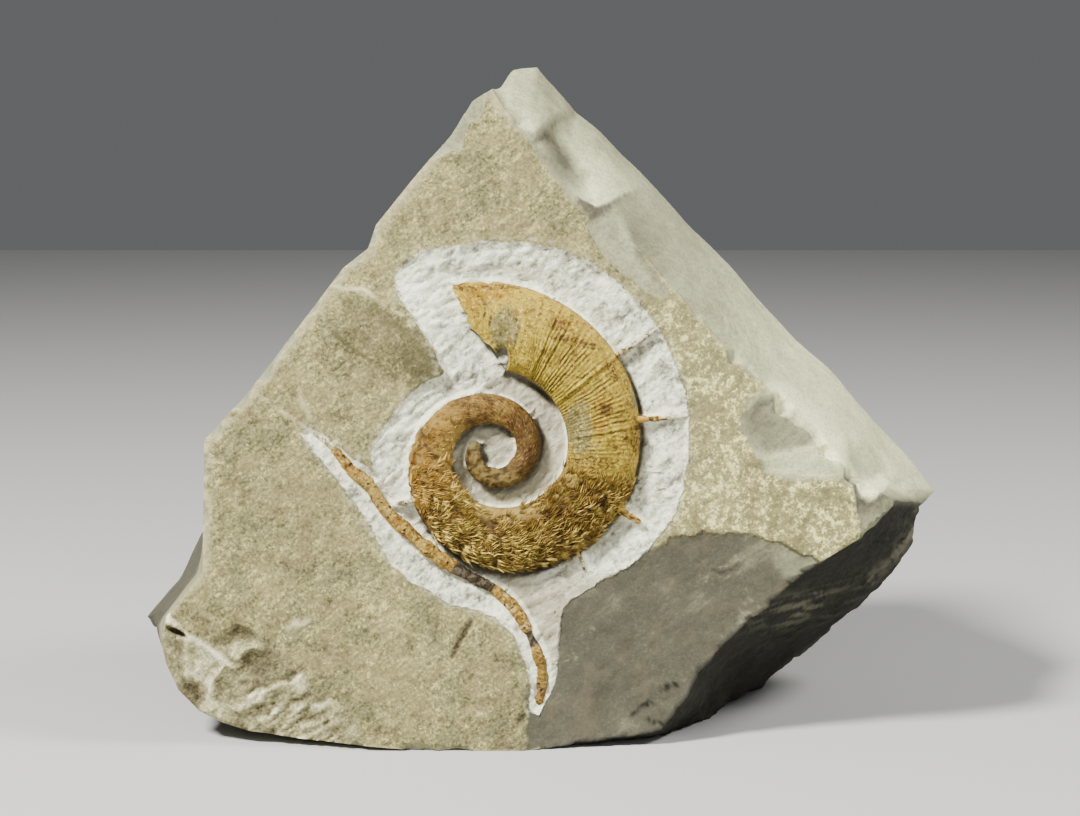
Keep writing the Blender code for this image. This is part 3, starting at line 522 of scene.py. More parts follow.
# Dark stains and pale veins of the bedding face: line, width, strength. One dark line is painted
# shadow.
STAINS_AND_SHADOW_LINES = [
    ([(-37.1, 38.2), (-31.9, 37.8), (-29.0, 34.9)], 1.2, 0.45),
    ([(-29.0, 34.9), (-23.3, 31.6), (-19.7, 27.3), (-15.7, 22.6), (-13.9, 19.8)], 2.3, 1.0),
    ([(-41.8, 31.6), (-37.6, 27.3), (-32.3, 23.6), (-28.0, 21.1), (-24.8, 18.8)], 0.8, 0.8),
    ([(-24.8, 18.8), (-21.4, 17.0)], 0.7, 0.6),
    # Painted shadow under the hollow's step below the swell.
    ([(-21.4, 16.5), (-15.3, 19.3), (-12.0, 20.2)], 0.8, 1.1),
    ([(-4.9, -39.8), (-8.4, -45.8), (-11.4, -51.4)], 0.8, 0.7),
    ([(-12.3, -38.6), (-15.5, -45.0)], 0.5, 0.55),
    ([(-71.6, -4.4), (-70.6, -4.9)], 0.6, 1.0), ([(-71.2, -8.0), (-70.0, -8.6)], 0.6, 1.0),
    ([(-65.4, 9.2), (-64.0, 9.4)], 0.6, 0.9), ([(-22.4, -71.6), (-16.2, -73.6)], 0.8, 0.3),
]
VEINS = [
    ([(-48.0, 14.0), (-45.6, 8.6)], 0.7, 0.7), ([(-42.2, 33.5), (-41.3, 28.7)], 0.5, 0.7),
    ([(-40.5, 40.8), (-36.6, 40.0), (-32.3, 40.0), (-30.5, 38.7)], 0.8, 1.0),
    ([(-30.5, 38.7), (-27.1, 35.9), (-22.4, 33.4), (-19.7, 31.2)], 0.6, 0.9),
]
BROAD_VEIN = [(-57.5, 13.6), (-52.0, 9.4), (-46.2, 6.2)]
# A ragged pale patch: middle, tilt.
PALE_PATCH = ((-48.5, -42.3), 25.0)


def face_stains(flat, inward, border_gap):
    """Darker and paler parts of the bedding face, from -1 (dark) to 1 (pale), with one line of
    painted shadow.
    """
    along, over = turned(flat, STAIN_MIDDLE, SWELL_TILT)
    oval = (along / 18.0) ** 2 + (over / 6.6) ** 2
    dark = (1.0 - ease((oval - 0.45) / 0.9)) * (0.44 + 0.20 * ease(along / 14.0))
    for line, width, strength in STAINS_AND_SHADOW_LINES:
        dark = np.maximum(dark, strength * soft_line(flat, line, width))
    dark *= 0.75 + 0.6 * cloud(flat, 3.0, 3, 1.2)
    pale = 0.75 * soft_line(flat, BROAD_VEIN, 0.8) * (0.6 + cloud(flat, 2.0, 3, 6.6))
    for line, width, strength in VEINS:
        pale = np.maximum(pale, strength * soft_line(flat, line, width))
    upper_left = ease((flat[:, 1] - flat[:, 0] - 30.0) / 20.0)
    pale = np.maximum(pale, 0.5 * np.exp(-((border_gap / 2.6) ** 2)) * (0.4 + upper_left))
    pale = np.maximum(pale, 0.5 * np.exp(-((border_gap / 0.7) ** 2)))
    along, over = turned(flat, *PALE_PATCH)
    ragged = 0.9 * cloud(flat, 2.4, 3, 3.4)
    pale = np.maximum(pale, 0.7 - (along / 6.0) ** 2 - (over / 2.2) ** 2 + ragged)
    stain = np.clip(pale, 0.0, 1.0) - np.clip(dark, 0.0, 1.0)
    return np.where(inward < 1.0, np.clip(stain, -1.0, 1.0), 0.0)


# Facets of the upper right slope, as lines of points: place seen from the front, depth of
# stone lost, extra paleness.
SLOPE_LINES = [
    [(-4.2, 88.5, 0, 0), (1.2, 85.0, 0, 0), (5.7, 80.1, 0, 0), (8.6, 75.2, 0, 0),
     (12.3, 69.8, 0, 0), (16.0, 64.9, 0, 0), (19.4, 60.9, 0, 0), (22.4, 56.5, 0, 0),
     (24.3, 52.1, 0, 0), (26.8, 48.2, 0, 0), (31.2, 44.2, 0, 0), (36.9, 39.3, 0, 0),
     (42.5, 37.3, 0, 0)],
    [(4.2, 96.3, 0, 0), (11.1, 96.8, 0, 0), (16.5, 90.4, 0, 0), (20.9, 85.0, 0, 0),
     (27.8, 76.2, 0, 0), (36.6, 65.4, 0, 0), (45.5, 54.1, 0, 0), (48.9, 46.7, 0, 0)],
    [(-2.2, 89.9, 0.3, 0.07), (2.0, 86.5, 0.5, 0.07), (6.1, 81.6, 0.6, 0.12),
     (9.1, 79.6, 0.7, 0.12)],
    [(9.6, 79.1, 0.4, 0.12), (12.0, 81.6, 0.4, 0.12), (14.7, 83.5, 0.4, 0.07),
     (16.7, 83.5, 0.2, 0.02)],
    [(10.3, 78.1, 2, -0.2), (12.8, 80.6, 2.2, -0.35), (15.2, 82.6, 2, -0.25),
     (17.4, 82.6, 1, -0.1)],
    [(15.5, 81.8, 1.6, 0.02), (19.2, 76.2, 1.3, 0.2), (24.1, 69.8, 1.3, 0.25),
     (26.3, 66.1, 1.1, 0.3), (28.3, 62.7, 0.6, 0.2)],
    [(11.3, 76.7, 1.6, 0), (13.5, 73.7, 2, -0.15), (16.5, 69.8, 2, -0.1), (19.9, 65.4, 1.8, 0.1),
     (21.9, 63.4, 1.5, 0.25)],
    [(15.0, 78.1, 2.7, -0.25), (17.9, 74.2, 3.1, -0.35), (20.9, 70.3, 2.8, -0.1),
     (23.8, 65.8, 2.2, 0.3)],
    [(21.9, 63.4, 1.5, 0.25), (24.8, 61.7, 1.4, 0.25), (27.8, 62.7, 0.8, 0.2)],
    [(21.4, 61.9, 0.5, -0.35), (25.1, 60.2, 0.3, -0.4), (28.7, 61.7, 0.3, -0.3)],
    [(23.3, 55.5, 0.9, 0.05), (25.8, 50.6, 1.1, 0.05), (28.7, 46.7, 1.2, 0.05),
     (33.7, 42.3, 1, 0.05), (38.1, 39.8, 0.6, 0)],
    [(28.5, 59.7, 0.9, 0.05), (31.4, 54.5, 1.1, 0.05), (34.4, 49.1, 1.1, 0.1),
     (38.3, 43.2, 0.9, 0.1), (41.3, 39.8, 0.5, 0)],
    [(30.0, 60.0, 0.1, -0.1), (32.9, 55.0, 0.1, -0.2), (35.9, 49.6, 0.1, -0.2),
     (39.8, 43.7, 0.1, -0.1), (42.8, 39.8, 0.1, 0)],
    [(59.2, 13.8, 0, 0), (62.2, 16.7, 0, 0), (66.3, 19.2, 0, 0), (72.5, 17.2, 0, 0),
     (78.6, 12.3, 0, 0), (86.0, 5.9, 0, 0), (94.6, 1.0, 0, 0), (101.5, -6.4, 0, 0),
     (105.7, -9.8, 0, 0)],
    [(59.7, 7.9, 0, 0), (62.2, 1.2, 0, 0), (66.1, -4.9, 0, 0), (72.5, -7.4, 0, 0),
     (79.9, -7.0, 0, 0), (84.0, -7.2, 0, 0), (88.0, -9.0, 0, 0), (88.6, -12.5, 0, 0),
     (90.0, -17.0, 0, 0), (90.2, -24.0, 0, 0)],
    [(104.6, -13.6, 0.3, 0), (100.8, -16.0, 0.8, 0), (95.5, -22.4, 0.9, 0)],
    [(63.1, 10.8, 0.2, 0.1), (65.4, 13.3, 0.2, 0.15), (69.3, 15.2, 0.2, 0.25),
     (73.2, 11.8, 0.2, 0.2), (77.9, 7.6, 0.2, 0.2), (81.8, 3.4, 0.3, 0.2)],
    [(64.4, 9.3, 1.275, -0.105), (66.6, 11.8, 1.5, -0.14), (69.5, 13.0, 1.5, -0.122),
     (72.5, 10.3, 1.5, -0.087), (76.4, 6.9, 1.35, -0.07), (79.9, 3.4, 1.05, -0.052)],
    [(64.6, 2.9, 1.05, -0.052), (68.8, 0.5, 1.2, -0.035), (73.7, 1.5, 1.05, -0.017),
     (77.9, 2.0, 1, 0)],
    [(66.1, -1.5, 0.4, 0.2), (72.5, 0.0, 0.2, 0.3), (78.6, 1.2, 0.1, 0.35),
     (84.8, 1.0, 0.2, 0.3)],
    [(67.6, -3.9, 1, 0.2), (73.7, -4.9, 1.3, 0.25), (80.3, -6.4, 1.4, 0.25),
     (86.7, -5.4, 1, 0.2)],
    [(87.2, 2.9, 0.4, 0), (92.1, 0.0, 0.8, -0.1), (95.8, -4.4, 0.9, -0.1), (97.8, -7.9, 0.6, 0)],
    [(88.0, -1.5, 0.825, -0.105), (90.2, -5.4, 0.975, -0.122), (91.2, -7.1, 0.825, -0.035)],
    [(91.4, -8.3, 0.6, 0.5), (95.1, -8.8, 0.5, 0.6), (93.6, -11.4, 0.8, 0.6),
     (91.8, -10.6, 0.8, 0.5)],
    [(89.3, -8.8, 0.8, -0.35), (90.3, -11.2, 1.1, -0.35), (90.2, -14.0, 1.1, -0.2)],
    [(92.4, -13.2, 1.4, -0.2), (96.2, -11.2, 1.2, -0.2), (99.4, -11.0, 0.7, -0.1)],
    [(92.3, -17.8, 1.2, 0.05), (95.5, -15.0, 1.1, -0.1), (98.4, -12.8, 0.8, 0)],
    [(98.0, -5.4, 0.3, 0.1), (100.2, -7.6, 0.6, -0.1), (100.4, -9.6, 0.6, 0.15)],
]
# Dark scratches in the big smooth break at the lower right: line, width, strength.
SCRATCHES = [
    ([(41.0, -58.9), (43.4, -57.6), (45.4, -57.4)], 0.45, 0.7),
    ([(33.6, -64.6), (36.0, -63.4), (38.6, -62.0)], 0.45, 0.7),
    ([(37.4, -65.8), (39.6, -67.2), (41.6, -67.4)], 0.4, 0.5),
    ([(53.6, -28.8), (55.6, -29.8), (58.4, -29.0), (59.8, -27.8)], 0.45, 0.35),
]
# The part of the underside's edge that catches the light.
LIT_RIM = [(106.0, -11.0), (103.0, -19.0), (97.0, -27.0), (90.0, -33.5)]


def scar_marks(points):
    """Paler and darker parts of the big smooth break."""
    flat = points[:, :2]
    along, over = turned(flat, (72.0, -25.5), -25.0)
    marks = 0.21 * np.exp(-((along / 13.0) ** 2) - (over / 5.2) ** 2)
    marks += 0.12 * cloud(flat, 9.0, 3, 3.7) + 0.10 * strokes(flat, 35.0, 9.0, 2.2, 3, 1.9)
    marks += 0.10 * ease((-30.0 - flat[:, 1]) / 24.0) + 0.06 * ease((30.0 - flat[:, 0]) / 20.0)
    scribbles = 1.0 - ease(np.abs(cloud(flat, 3.2, 3, 6.8)) / 0.10)
    marks += 0.16 * scribbles * ease(cloud(flat, 11.0, 2, 8.1) * 3.0)
    for line, width, strength in SCRATCHES:
        marks -= strength * soft_line(flat, line, width)
    return marks


def as_seen(points):
    """Where points appear in the face when seen from the front."""
    closer = VIEW_DISTANCE / (VIEW_DISTANCE + points[:, 2])
    return np.array(VIEW_MIDDLE) + (points[:, :2] - np.array(VIEW_MIDDLE)) * closer[:, None]


def underside_marks(points):
    """Torn layers and a pale rim that catch the light on the dark underside."""
    seen = as_seen(points)
    along, over = turned(seen, (76.0, -38.0), 18.0)
    torn = np.exp(-((along / 13.0) ** 2) - (over / 4.0) ** 2)
    marks = 0.60 * torn * ease(strokes(seen, 16.0, 7.0, 0.7, 3, 2.3) * 2.5)
    near = soft_line(seen, LIT_RIM, 1.6)
    return marks + 0.6 * near * ease(cloud(seen, 2.0, 3, 5.2) * 2.0 + 0.3)


def outward_from_heart(points):
    """Directions in which the block grows outwards at the points."""
    away = points - np.array(BLOCK_HEART)
    return away / np.linalg.norm(away, axis=1)[:, None]


def facet_the_slope(points):
    """Break the upper right slope into its facets; returns the depth lost and paleness."""
    seen = as_seen(points)
    seen += 0.5 * np.column_stack([cloud(seen, 5.0, 3, 2.6), cloud(seen, 5.0, 3, 7.7)])
    lost, tone = between_lines(seen, SLOPE_LINES).T
    in_front = ease((50.0 - points[:, 2]) / 8.0)
    lost, tone = lost * in_front, tone * in_front
    points -= outward_from_heart(points) * lost[:, None]
    return lost, tone


# Gap between the rows of a triangular lattice, for a spacing of one.
ROW_GAP = 0.866


def lattice(spacing, low, high):
    """A triangular lattice of points over a rectangle, a little shaken."""
    rows = int((high[1] - low[1]) / (spacing * ROW_GAP)) + 1
    columns = int((high[0] - low[0]) / spacing) + 1
    row, column = np.divmod(np.arange(rows * columns), columns)
    points = np.column_stack([
        low[0] + (column + 0.5 * (row % 2)) * spacing,
        low[1] + row * spacing * ROW_GAP,
    ])
    return points + np.random.default_rng(11).uniform(-0.2, 0.2, points.shape) * spacing


def sheet_inside(border, clouds):
    """Triangles that fill a border through given inner points; the border comes first."""
    points = np.concatenate([border] + clouds)
    edges = [(i, (i + 1) % len(border)) for i in range(len(border))]
    found = delaunay_2d_cdt([Vector(p) for p in points], edges, [], 1, 1.0e-7)
    sources = [min(source) for source in found[3]]
    return points, [[sources[i] for i in triangle] for triangle in found[2]]


def cut_to_ball(points, middle, outward, mouth, depth, rough):
    """Scoop a ball-shaped break: points in the ball slide towards the block's heart."""
    axis = np.array(outward) / np.linalg.norm(outward)
    ball = (mouth**2 + depth**2) / (2.0 * depth)
    centre = np.array(middle) + axis * (ball - depth)
    heart = np.array(BLOCK_HEART)
    offset = points - np.array(middle)
    aside = np.linalg.norm(offset - np.outer(offset @ axis, axis), axis=1)
    close = (np.linalg.norm(points - centre, axis=1) < ball + 2.0) & (aside < mouth * 1.25)
    near = np.where(close)[0]
    moved = np.zeros(len(points))
    if not len(near):
        return moved
    radius = ball + rough * cloud(points[near], 3.0, 3, mouth)
    radius -= ball * 0.2 * ease((aside[near] / mouth - 1.05) / 0.2)
    ray = points[near] - heart
    length = np.linalg.norm(ray, axis=1)
    ray /= length[:, None]
    back = (centre - heart) @ ray.T
    rest = back**2 - (np.linalg.norm(centre - heart) ** 2 - radius**2)
    stop = back - np.sqrt(np.maximum(rest, 0.0))
    hit = (rest > 0.0) & (stop > 2.0) & (stop < length)
    points[near[hit]] = heart + ray[hit] * stop[hit][:, None]
    moved[near[hit]] = length[hit] - stop[hit]
    return moved


def cut_to_plane(points, place, outward, rough):
    """Break off what stands outside a rough plane."""
    axis = np.array(outward) / np.linalg.norm(outward)
    heart = np.array(BLOCK_HEART)
    over = (points - np.array(place)) @ axis
    near = np.where(over > -1.0)[0]
    moved = np.zeros(len(points))
    if not len(near):
        return moved
    ray = points[near] - heart
    lumps = cloud(points[near], 4.0, 3, place[0]) + 3.0 * cloud(points[near], 20.0, 2, place[1])
    reach = (np.array(place) - heart) @ axis + rough * lumps
    share = reach / (ray @ axis)
    hit = share < 1.0
    moved[near[hit]] = (1.0 - share[hit]) * np.linalg.norm(ray[hit], axis=1)
    points[near[hit]] = heart + ray[hit] * share[hit][:, None]
    return moved


CHIPS = 90


def chip_the_arris(points, border):
    """Many small chips along the edge of the bedding face."""
    shake = random.Random(5)
    cut = np.zeros(len(points))
    for _ in range(CHIPS):
        u, v, w = border[shake.randrange(len(border))]
        if v < -15.0 and not -60.0 < u < 50.0:
            continue
        away = Vector((u, v, 0.0)).normalized()
        lean = shake.uniform(0.35, 1.1)
        outward = (away.x + shake.uniform(-0.5, 0.5), away.y + shake.uniform(-0.5, 0.5), -lean)
        mouth = shake.uniform(1.2, 4.5)
        cut += cut_to_ball(points, (u, v, w), outward, mouth, mouth * 0.16, 0.1)
    return cut


def split_the_flanks(points):
    """Flat breaks over the upper left flank and the back."""
    start = points.copy()
    for outward, distance in FLAT_BREAKS:
        axis = np.array(outward) / np.linalg.norm(outward)
        cut_to_plane(points, axis * distance, axis, 0.3)
    return np.linalg.norm(points - start, axis=1)


# Distance between the mesh's points: along the front edge, in the hollow and the corner, on
# the rest of the face and on the back. The flanks have rings of points.
EDGE_SPACING = 0.80
HOLLOW_MESH = 0.58
FACE_MESH = 0.8
BACK_MESH = 3.0
SLOPE_RINGS = 44
FLANK_RINGS = 14


def corner_gap(flat):
    """Distance inside the broken corner at the lower left."""
    return -70.0 - (0.62 * flat[:, 0] + 0.78 * flat[:, 1])


def fill_front(edge):
    """Points and triangles inside the front edge, closer together where relief is finer."""
    low, high = edge.min(axis=0), edge.max(axis=0)
    clouds = []
    for spacing in (FACE_MESH, HOLLOW_MESH):
        points = lattice(spacing, low, high)
        finer = np.maximum(edge_distance(points, HOLLOW_EDGE), corner_gap(points))
        wanted = finer > -1.3 if spacing == HOLLOW_MESH else finer < -1.5
        clouds.append(points[wanted & (edge_distance(points, edge) > 0.5)])
    return sheet_inside(edge, clouds)


def fill_back(edge):
    """Points and triangles that close the back, domed towards its middle."""
    inner = lattice(BACK_MESH, edge.min(axis=0), edge.max(axis=0))
    inner = inner[edge_distance(inner, edge) > BACK_MESH * 0.5]
    _, triangles = sheet_inside(edge, [inner])
    rim = ring_at(BACK, np.arctan2(inner[:, 1], inner[:, 0]))
    share = np.clip(np.hypot(inner[:, 0], inner[:, 1]) / np.hypot(rim[:, 0], rim[:, 1]), 0, 1)
    return np.column_stack([inner, BACK_DEPTH + (rim[:, 2] - BACK_DEPTH) * share]), triangles


def flank_rings(outlines):
    """Rings of points from the front edge to the back, bulging between the outlines."""
    rings = []
    counts, bulges = (SLOPE_RINGS, FLANK_RINGS, FLANK_RINGS), (1.0, 1.0, 1.5)
    for first, last, count, bulge in zip(outlines, outlines[1:], counts, bulges):
        for share in np.arange(1, count + 1) / count:
            ring = first + (last - first) * share
            grow = 1.0 + 4.0 * bulge * share * (1.0 - share) / np.hypot(ring[:, 0], ring[:, 1])
            ring[:, :2] *= grow[:, None]
            rings.append(ring)
    return rings


def block_shape(front, triangles, border):
    """Points and faces of the closed block: front sheet, flanks round it, and back."""
    count, first_side = len(border), len(front)
    directions = np.arctan2(border[:, 1], border[:, 0])
    outlines = [front[:count]] + [ring_at(line, directions) for line in (WAIST, REAR, BACK)]
    rings = flank_rings(outlines)
    cap, cap_triangles = fill_back(outlines[-1][:, :2])
    points = np.concatenate([front, *rings, cap])
    faces = list(triangles)
    last = np.arange(count)
    after = np.roll(last, -1)
    for number in range(len(rings)):
        here = first_side + number * count + np.arange(count)
        faces += np.column_stack([last, last[after], here[after], here]).tolist()
        last = here
    cap_index = np.concatenate([last, len(points) - len(cap) + np.arange(len(cap))])
    faces += [[int(cap_index[i]) for i in triangle] for triangle in cap_triangles]
    return points, faces


def swell_flanks(points):
    """Broad, low swells of the flanks."""
    swell = 1.3 * cloud(points, 24.0, 2, 1.7)
    swell *= ease((points[:, 2] - 3.0) / 20.0)
    points += outward_from_heart(points) * swell[:, None]


def break_block(points, is_side, border):
    """Break the stone back. Returns how fresh and how pale each point's stone is (darkened on the
    underside, partly as painted shade), and how far the point is on the slope and on the underside."""
    angle = np.degrees(np.arctan2(points[:, 1], points[:, 0]))
    underside = ease((angle + 82.0) / 6.0) * ease((-6.2 - angle) / 2.0) * is_side
    slope = ease((angle + 9.0) / 5.0) * ease((96.0 - angle) / 8.0) * is_side
    ahead = 1.0 - ease((points[:, 2] - 52.0) / 14.0)
    # Paler stone on the slope, and paler still towards its right tip, partly painted light where
    # the slope brightens towards the tip.
    pale = 0.30 + (0.10 + 0.22 * ease((points[:, 0] - 45.0) / 40.0)) * slope * ahead
    # Painted shade, with darker fresh stone: the underside is darkened, less so towards the back.
    pale -= 0.80 * underside * ahead
    lower_left = ease((angle - 128.0) / 52.0) + ease((-105.0 - angle) / 36.0)
    pale -= 0.42 * lower_left * is_side * ease((points[:, 2] - 9.0) / 14.0) * ahead
    cut = np.zeros(len(points))
    for middle, outward, mouth, depth, tone in BREAKS:
        moved = cut_to_ball(points, middle, outward, mouth, depth, 0.12)
        cut += moved
        pale += (tone - pale) * ease(moved / 0.3)
        if mouth > SMOOTH_BREAK:
            points[:, 2] += 0.4 * ease(moved / 0.12)
            marks = 0.16 * ease((points[:, 1] + 54.0) / 20.0) + scar_marks(points)
            pale += marks * (ease(moved / 0.3) * (points[:, 2] < 9.0))
    lost, tone = facet_the_slope(points)
    cut += lost
    pale += tone + underside * underside_marks(points) * ahead
    cut += chip_the_arris(points, border)
    cut += split_the_flanks(points)
    return np.clip(ease(cut / 0.25) + is_side, 0.0, 1.0), pale, slope, underside


def roughen(points, is_side, fresh, slope, underside):
    """Torn grain, stepped layers and ripples of the broken stone."""
    torn = 0.10 + 0.35 * ease((points[:, 2] - 6.0) / 25.0) * (1.0 - slope) + 0.5 * underside
    torn += 0.1 * slope
    rough = 0.10 * cloud(points, 1.3, 3, 2.2) + 0.25 * cloud(points, 6.0, 3, 4.9)
    layers = points[:, 2] / 1.6 + 1.2 * cloud(points, 16.0, 2, 6.6)
    stepped = np.abs(layers % 1.0 - 0.5) - 0.25
    stepped += 0.5 * cloud(points / (9.0, 9.0, 0.9), 1.0, 2, 1.1)
    away = np.linalg.norm(points - np.array(RIPPLE_MIDDLE), axis=1)
    ripple = np.sin(math.tau * (away / 2.3 + 0.4 * cloud(points, 9.0, 2, 3.0)))
    ripple *= slope * ease((away - 6.0) / 4.0) * ease((30.0 - away) / 12.0)
    lift = fresh * torn * (2.0 * rough + 1.1 * stepped * is_side * (1.0 - slope)) + 0.07 * ripple
    points += outward_from_heart(points) * lift[:, None]


def hollow_numbers(flat, inward, gap, lit):
    """What the finish needs to know of the hollow: painted shade in the corners beside the shells
    and between the turns, a painted highlight beside them, and darker stone beside the slender
    shell's tail."""
    around = np.degrees(np.arctan2(flat[:, 1], flat[:, 0]))
    below_mouth = ease((around - 25.0) / 30.0) * ease((98.0 - around) / 8.0)
    pressed = ease((-24.0 - flat[:, 1]) / 5.0) * ease((flat[:, 0] + 12.0) / 6.0)
    pressed *= ease((18.0 - flat[:, 0]) / 12.0)
    reach = 1.6 + 1.6 * below_mouth + 2.6 * pressed
    # Painted shade: dark beside the coil's edges that face away from the key lamp, reaching wider
    # below the mouth and under the coil's bottom.
    shade = (1.0 - ease(gap / reach)) * (1.0 - lit * (1.0 - pressed))
    shade *= 0.5 + 0.5 * ease((np.hypot(flat[:, 0], flat[:, 1]) - 9.0) / 5.0)
    shade += 0.3 * pressed * shade * strokes(flat, 20.0, 5.0, 0.9, 2, 5.1)
    line = np.array(SLENDER)
    right = flat[:, 0] - np.interp(-flat[:, 1], -line[:, 1], line[:, 0])
    tail = ease((-27.0 - flat[:, 1]) / 8.0) * (1.0 - ease((-48.0 - flat[:, 1]) / 10.0))
    tail *= ease((right - 1.0) / 1.5) * (1.05 + 0.7 * strokes(flat, 35.0, 7.0, 1.0, 3, 4.4))
    return {
        "hollow": inward, "shade": shade,
        # Painted shade between the turns of the coil; darker grey beside the slender shell's tail.
        "inner": np.clip(between_turns(flat) + 1.1 * tail, 0.0, 1.3),
        # Small only beside the coil's edges that face the key lamp and all along the slender shell;
        # the finish paints it pale, a painted highlight beside the coil.
        "shell_gap": np.minimum(gap + 3.0 * (1.0 - lit), slender_gap(flat) - 2.0),
    }


def add_numbers(mesh, numbers):
    """Keep values on the mesh's points."""
    for name, values in numbers.items():
        layer = mesh.attributes.new(name, "FLOAT", "POINT")
        layer.data.foreach_set("value", np.asarray(values, dtype=np.float32))


def make_block():
    """The block's mesh, with what its finish needs kept as numbers on its points."""
    border = finely(FRONT_EDGE, EDGE_SPACING)
    flat, triangles = fill_front(border[:, :2])
    inward = hollow_inward(flat)
    gap, lit = beside_coil(flat)
    lost, split_tone = lower_left_corner(flat)
    depth = front_relief(flat, inward, gap, lit) + lost
    depth[:len(border)] += border[:, 2]
    points, faces = block_shape(np.column_stack([flat, depth]), triangles, border)
    is_side = np.ones(len(points))
    is_side[:len(flat)] = 0.0
    swell_flanks(points[len(flat):])
    fresh, pale, slope, underside = break_block(points, is_side, border)
    roughen(points, is_side, fresh, slope, underside)

    mesh = bpy.data.meshes.new("block_finish")
    mesh.from_pydata(face_points(points).tolist(), [], faces)
    on_face = hollow_numbers(flat, inward, gap, lit)
    on_face["stain"] = face_stains(flat, inward, edge_distance(flat, border[:, :2]))
    on_face["split_tone"] = split_tone
    on_face["split_off"] = ease((lost - 0.05) / 0.35)
    add_numbers(mesh, {"fresh": fresh, "pale": pale})
    for name, values in on_face.items():
        elsewhere = {"hollow": -20.0, "shell_gap": 20.0}.get(name, 0.0)
        whole = np.full(len(points), elsewhere)
        whole[:len(flat)] = values
        add_numbers(mesh, {name: whole})
    return mesh


def close_base(mesh):
    """Cut the block flat at the surface that it stands on, and close the cut."""
    work = bmesh.new()
    work.from_mesh(mesh)
    everything = list(work.verts) + list(work.edges) + list(work.faces)
    cut = bmesh.ops.bisect_plane(
        work, geom=everything, dist=1.0e-7, plane_co=(0.0, 0.0, 0.0),
        plane_no=(0.0, 0.0, -1.0), clear_outer=True,
    )
    rim = [part for part in cut["geom_cut"] if isinstance(part, bmesh.types.BMEdge)]
    bmesh.ops.triangle_fill(work, edges=rim, use_beauty=True)
    bmesh.ops.triangulate(work, faces=work.faces)
    bmesh.ops.recalc_face_normals(work, faces=work.faces)
    work.to_mesh(mesh)
    work.free()


class Wire:
    """A socket that can be calculated with: each sum adds a Math node to its tree."""

    def __init__(self, tree, socket):
        self.tree = tree
        self.socket = socket

    def __add__(self, other):
        return self.tree.maths("ADD", self, other)

    def __radd__(self, other):
        return self.tree.maths("ADD", other, self)

    def __sub__(self, other):
        return self.tree.maths("SUBTRACT", self, other)

    def __rsub__(self, other):
        return self.tree.maths("SUBTRACT", other, self)

    def __mul__(self, other):
        return self.tree.maths("MULTIPLY", self, other)

    def __rmul__(self, other):
        return self.tree.maths("MULTIPLY", other, self)

    def __truediv__(self, other):
        return self.tree.maths("DIVIDE", self, other)


class Tree:
    """A node tree under construction. add() makes any node and returns one of its outputs."""

    def __init__(self, tree):
        self.tree = tree

    def add(self, kind, settings=(), inputs=(), output=0):
        """A node of a kind, with its settings, and values or links for its sockets."""
        node = self.tree.nodes.new(kind)
        for name, value in dict(settings).items():
            if name == "stops":
                while len(node.color_ramp.elements) < len(value):
                    node.color_ramp.elements.new(1.0)
                for stop, (place, colour) in zip(node.color_ramp.elements, value):
                    stop.position = place
                    stop.color = (*colour, 1.0)
            else:
                setattr(node, name, value)
        for name, value in dict(inputs).items():
            if isinstance(value, Wire):
                self.tree.links.new(value.socket, node.inputs[name])
            else:
                node.inputs[name].default_value = value
        return Wire(self, node.outputs[output])

    def maths(self, operation, *values):
        """A Math node's result."""
        return self.add("ShaderNodeMath", {"operation": operation}, dict(enumerate(values)))

    def rise(self, value, low, high):
        """0 below low, 1 above high, smooth between."""
        return self.add(
            "ShaderNodeMapRange", {"interpolation_type": "SMOOTHSTEP"},
            {"Value": value, "From Min": low, "From Max": high},
        )

    def blend(self, share, first, second):
        """One colour turning into another."""
        inputs = {0: share}
        for number, colour in ((6, first), (7, second)):
            inputs[number] = colour if isinstance(colour, Wire) else (*colour, 1.0)
        return self.add("ShaderNodeMix", {"data_type": "RGBA"}, inputs, 2)

    def painted(self, colour, coats):
        """A colour with further coats over it, each a share and a colour of its own."""
        for share, coat in coats:
            colour = self.blend(share, colour, coat)
        return colour

    def number(self, name):
        """A value kept on the mesh's points."""
        return self.add("ShaderNodeAttribute", {"attribute_name": name}, (), "Fac")

    def place(self):
        """The point on the object, in millimetres."""
        where = self.add("ShaderNodeTexCoord", output="Object")
        return self.add(
            "ShaderNodeVectorMath", {"operation": "SCALE"}, {0: where, "Scale": 1.0 / MM}
        )

    def noise(self, where, size, detail=3.0, roughness=0.55):
        """Noise with lumps of a size in millimetres."""
        return self.add("ShaderNodeTexNoise", (), {
            "Vector": where, "Scale": 1.0 / size, "Detail": detail, "Roughness": roughness,
        })

    def finish(self, colour, roughness, height, bump_depth, gloss):
        """The stone or shell shader; height is in millimetres."""
        normal = self.add("ShaderNodeBump", (), {
            "Height": height, "Distance": MM, "Strength": bump_depth,
        })
        shader = self.tree.nodes["Principled BSDF"]
        self.tree.links.new(colour.socket, shader.inputs["Base Color"])
        self.tree.links.new(normal.socket, shader.inputs["Normal"])
        shader.inputs["Roughness"].default_value = roughness
        shader.inputs["Specular IOR Level"].default_value = gloss


def new_material(name):
    """An empty material and the tree that its finish is built in."""
    material = bpy.data.materials.new(name)
    material.use_nodes = True
    return material, Tree(material.node_tree)


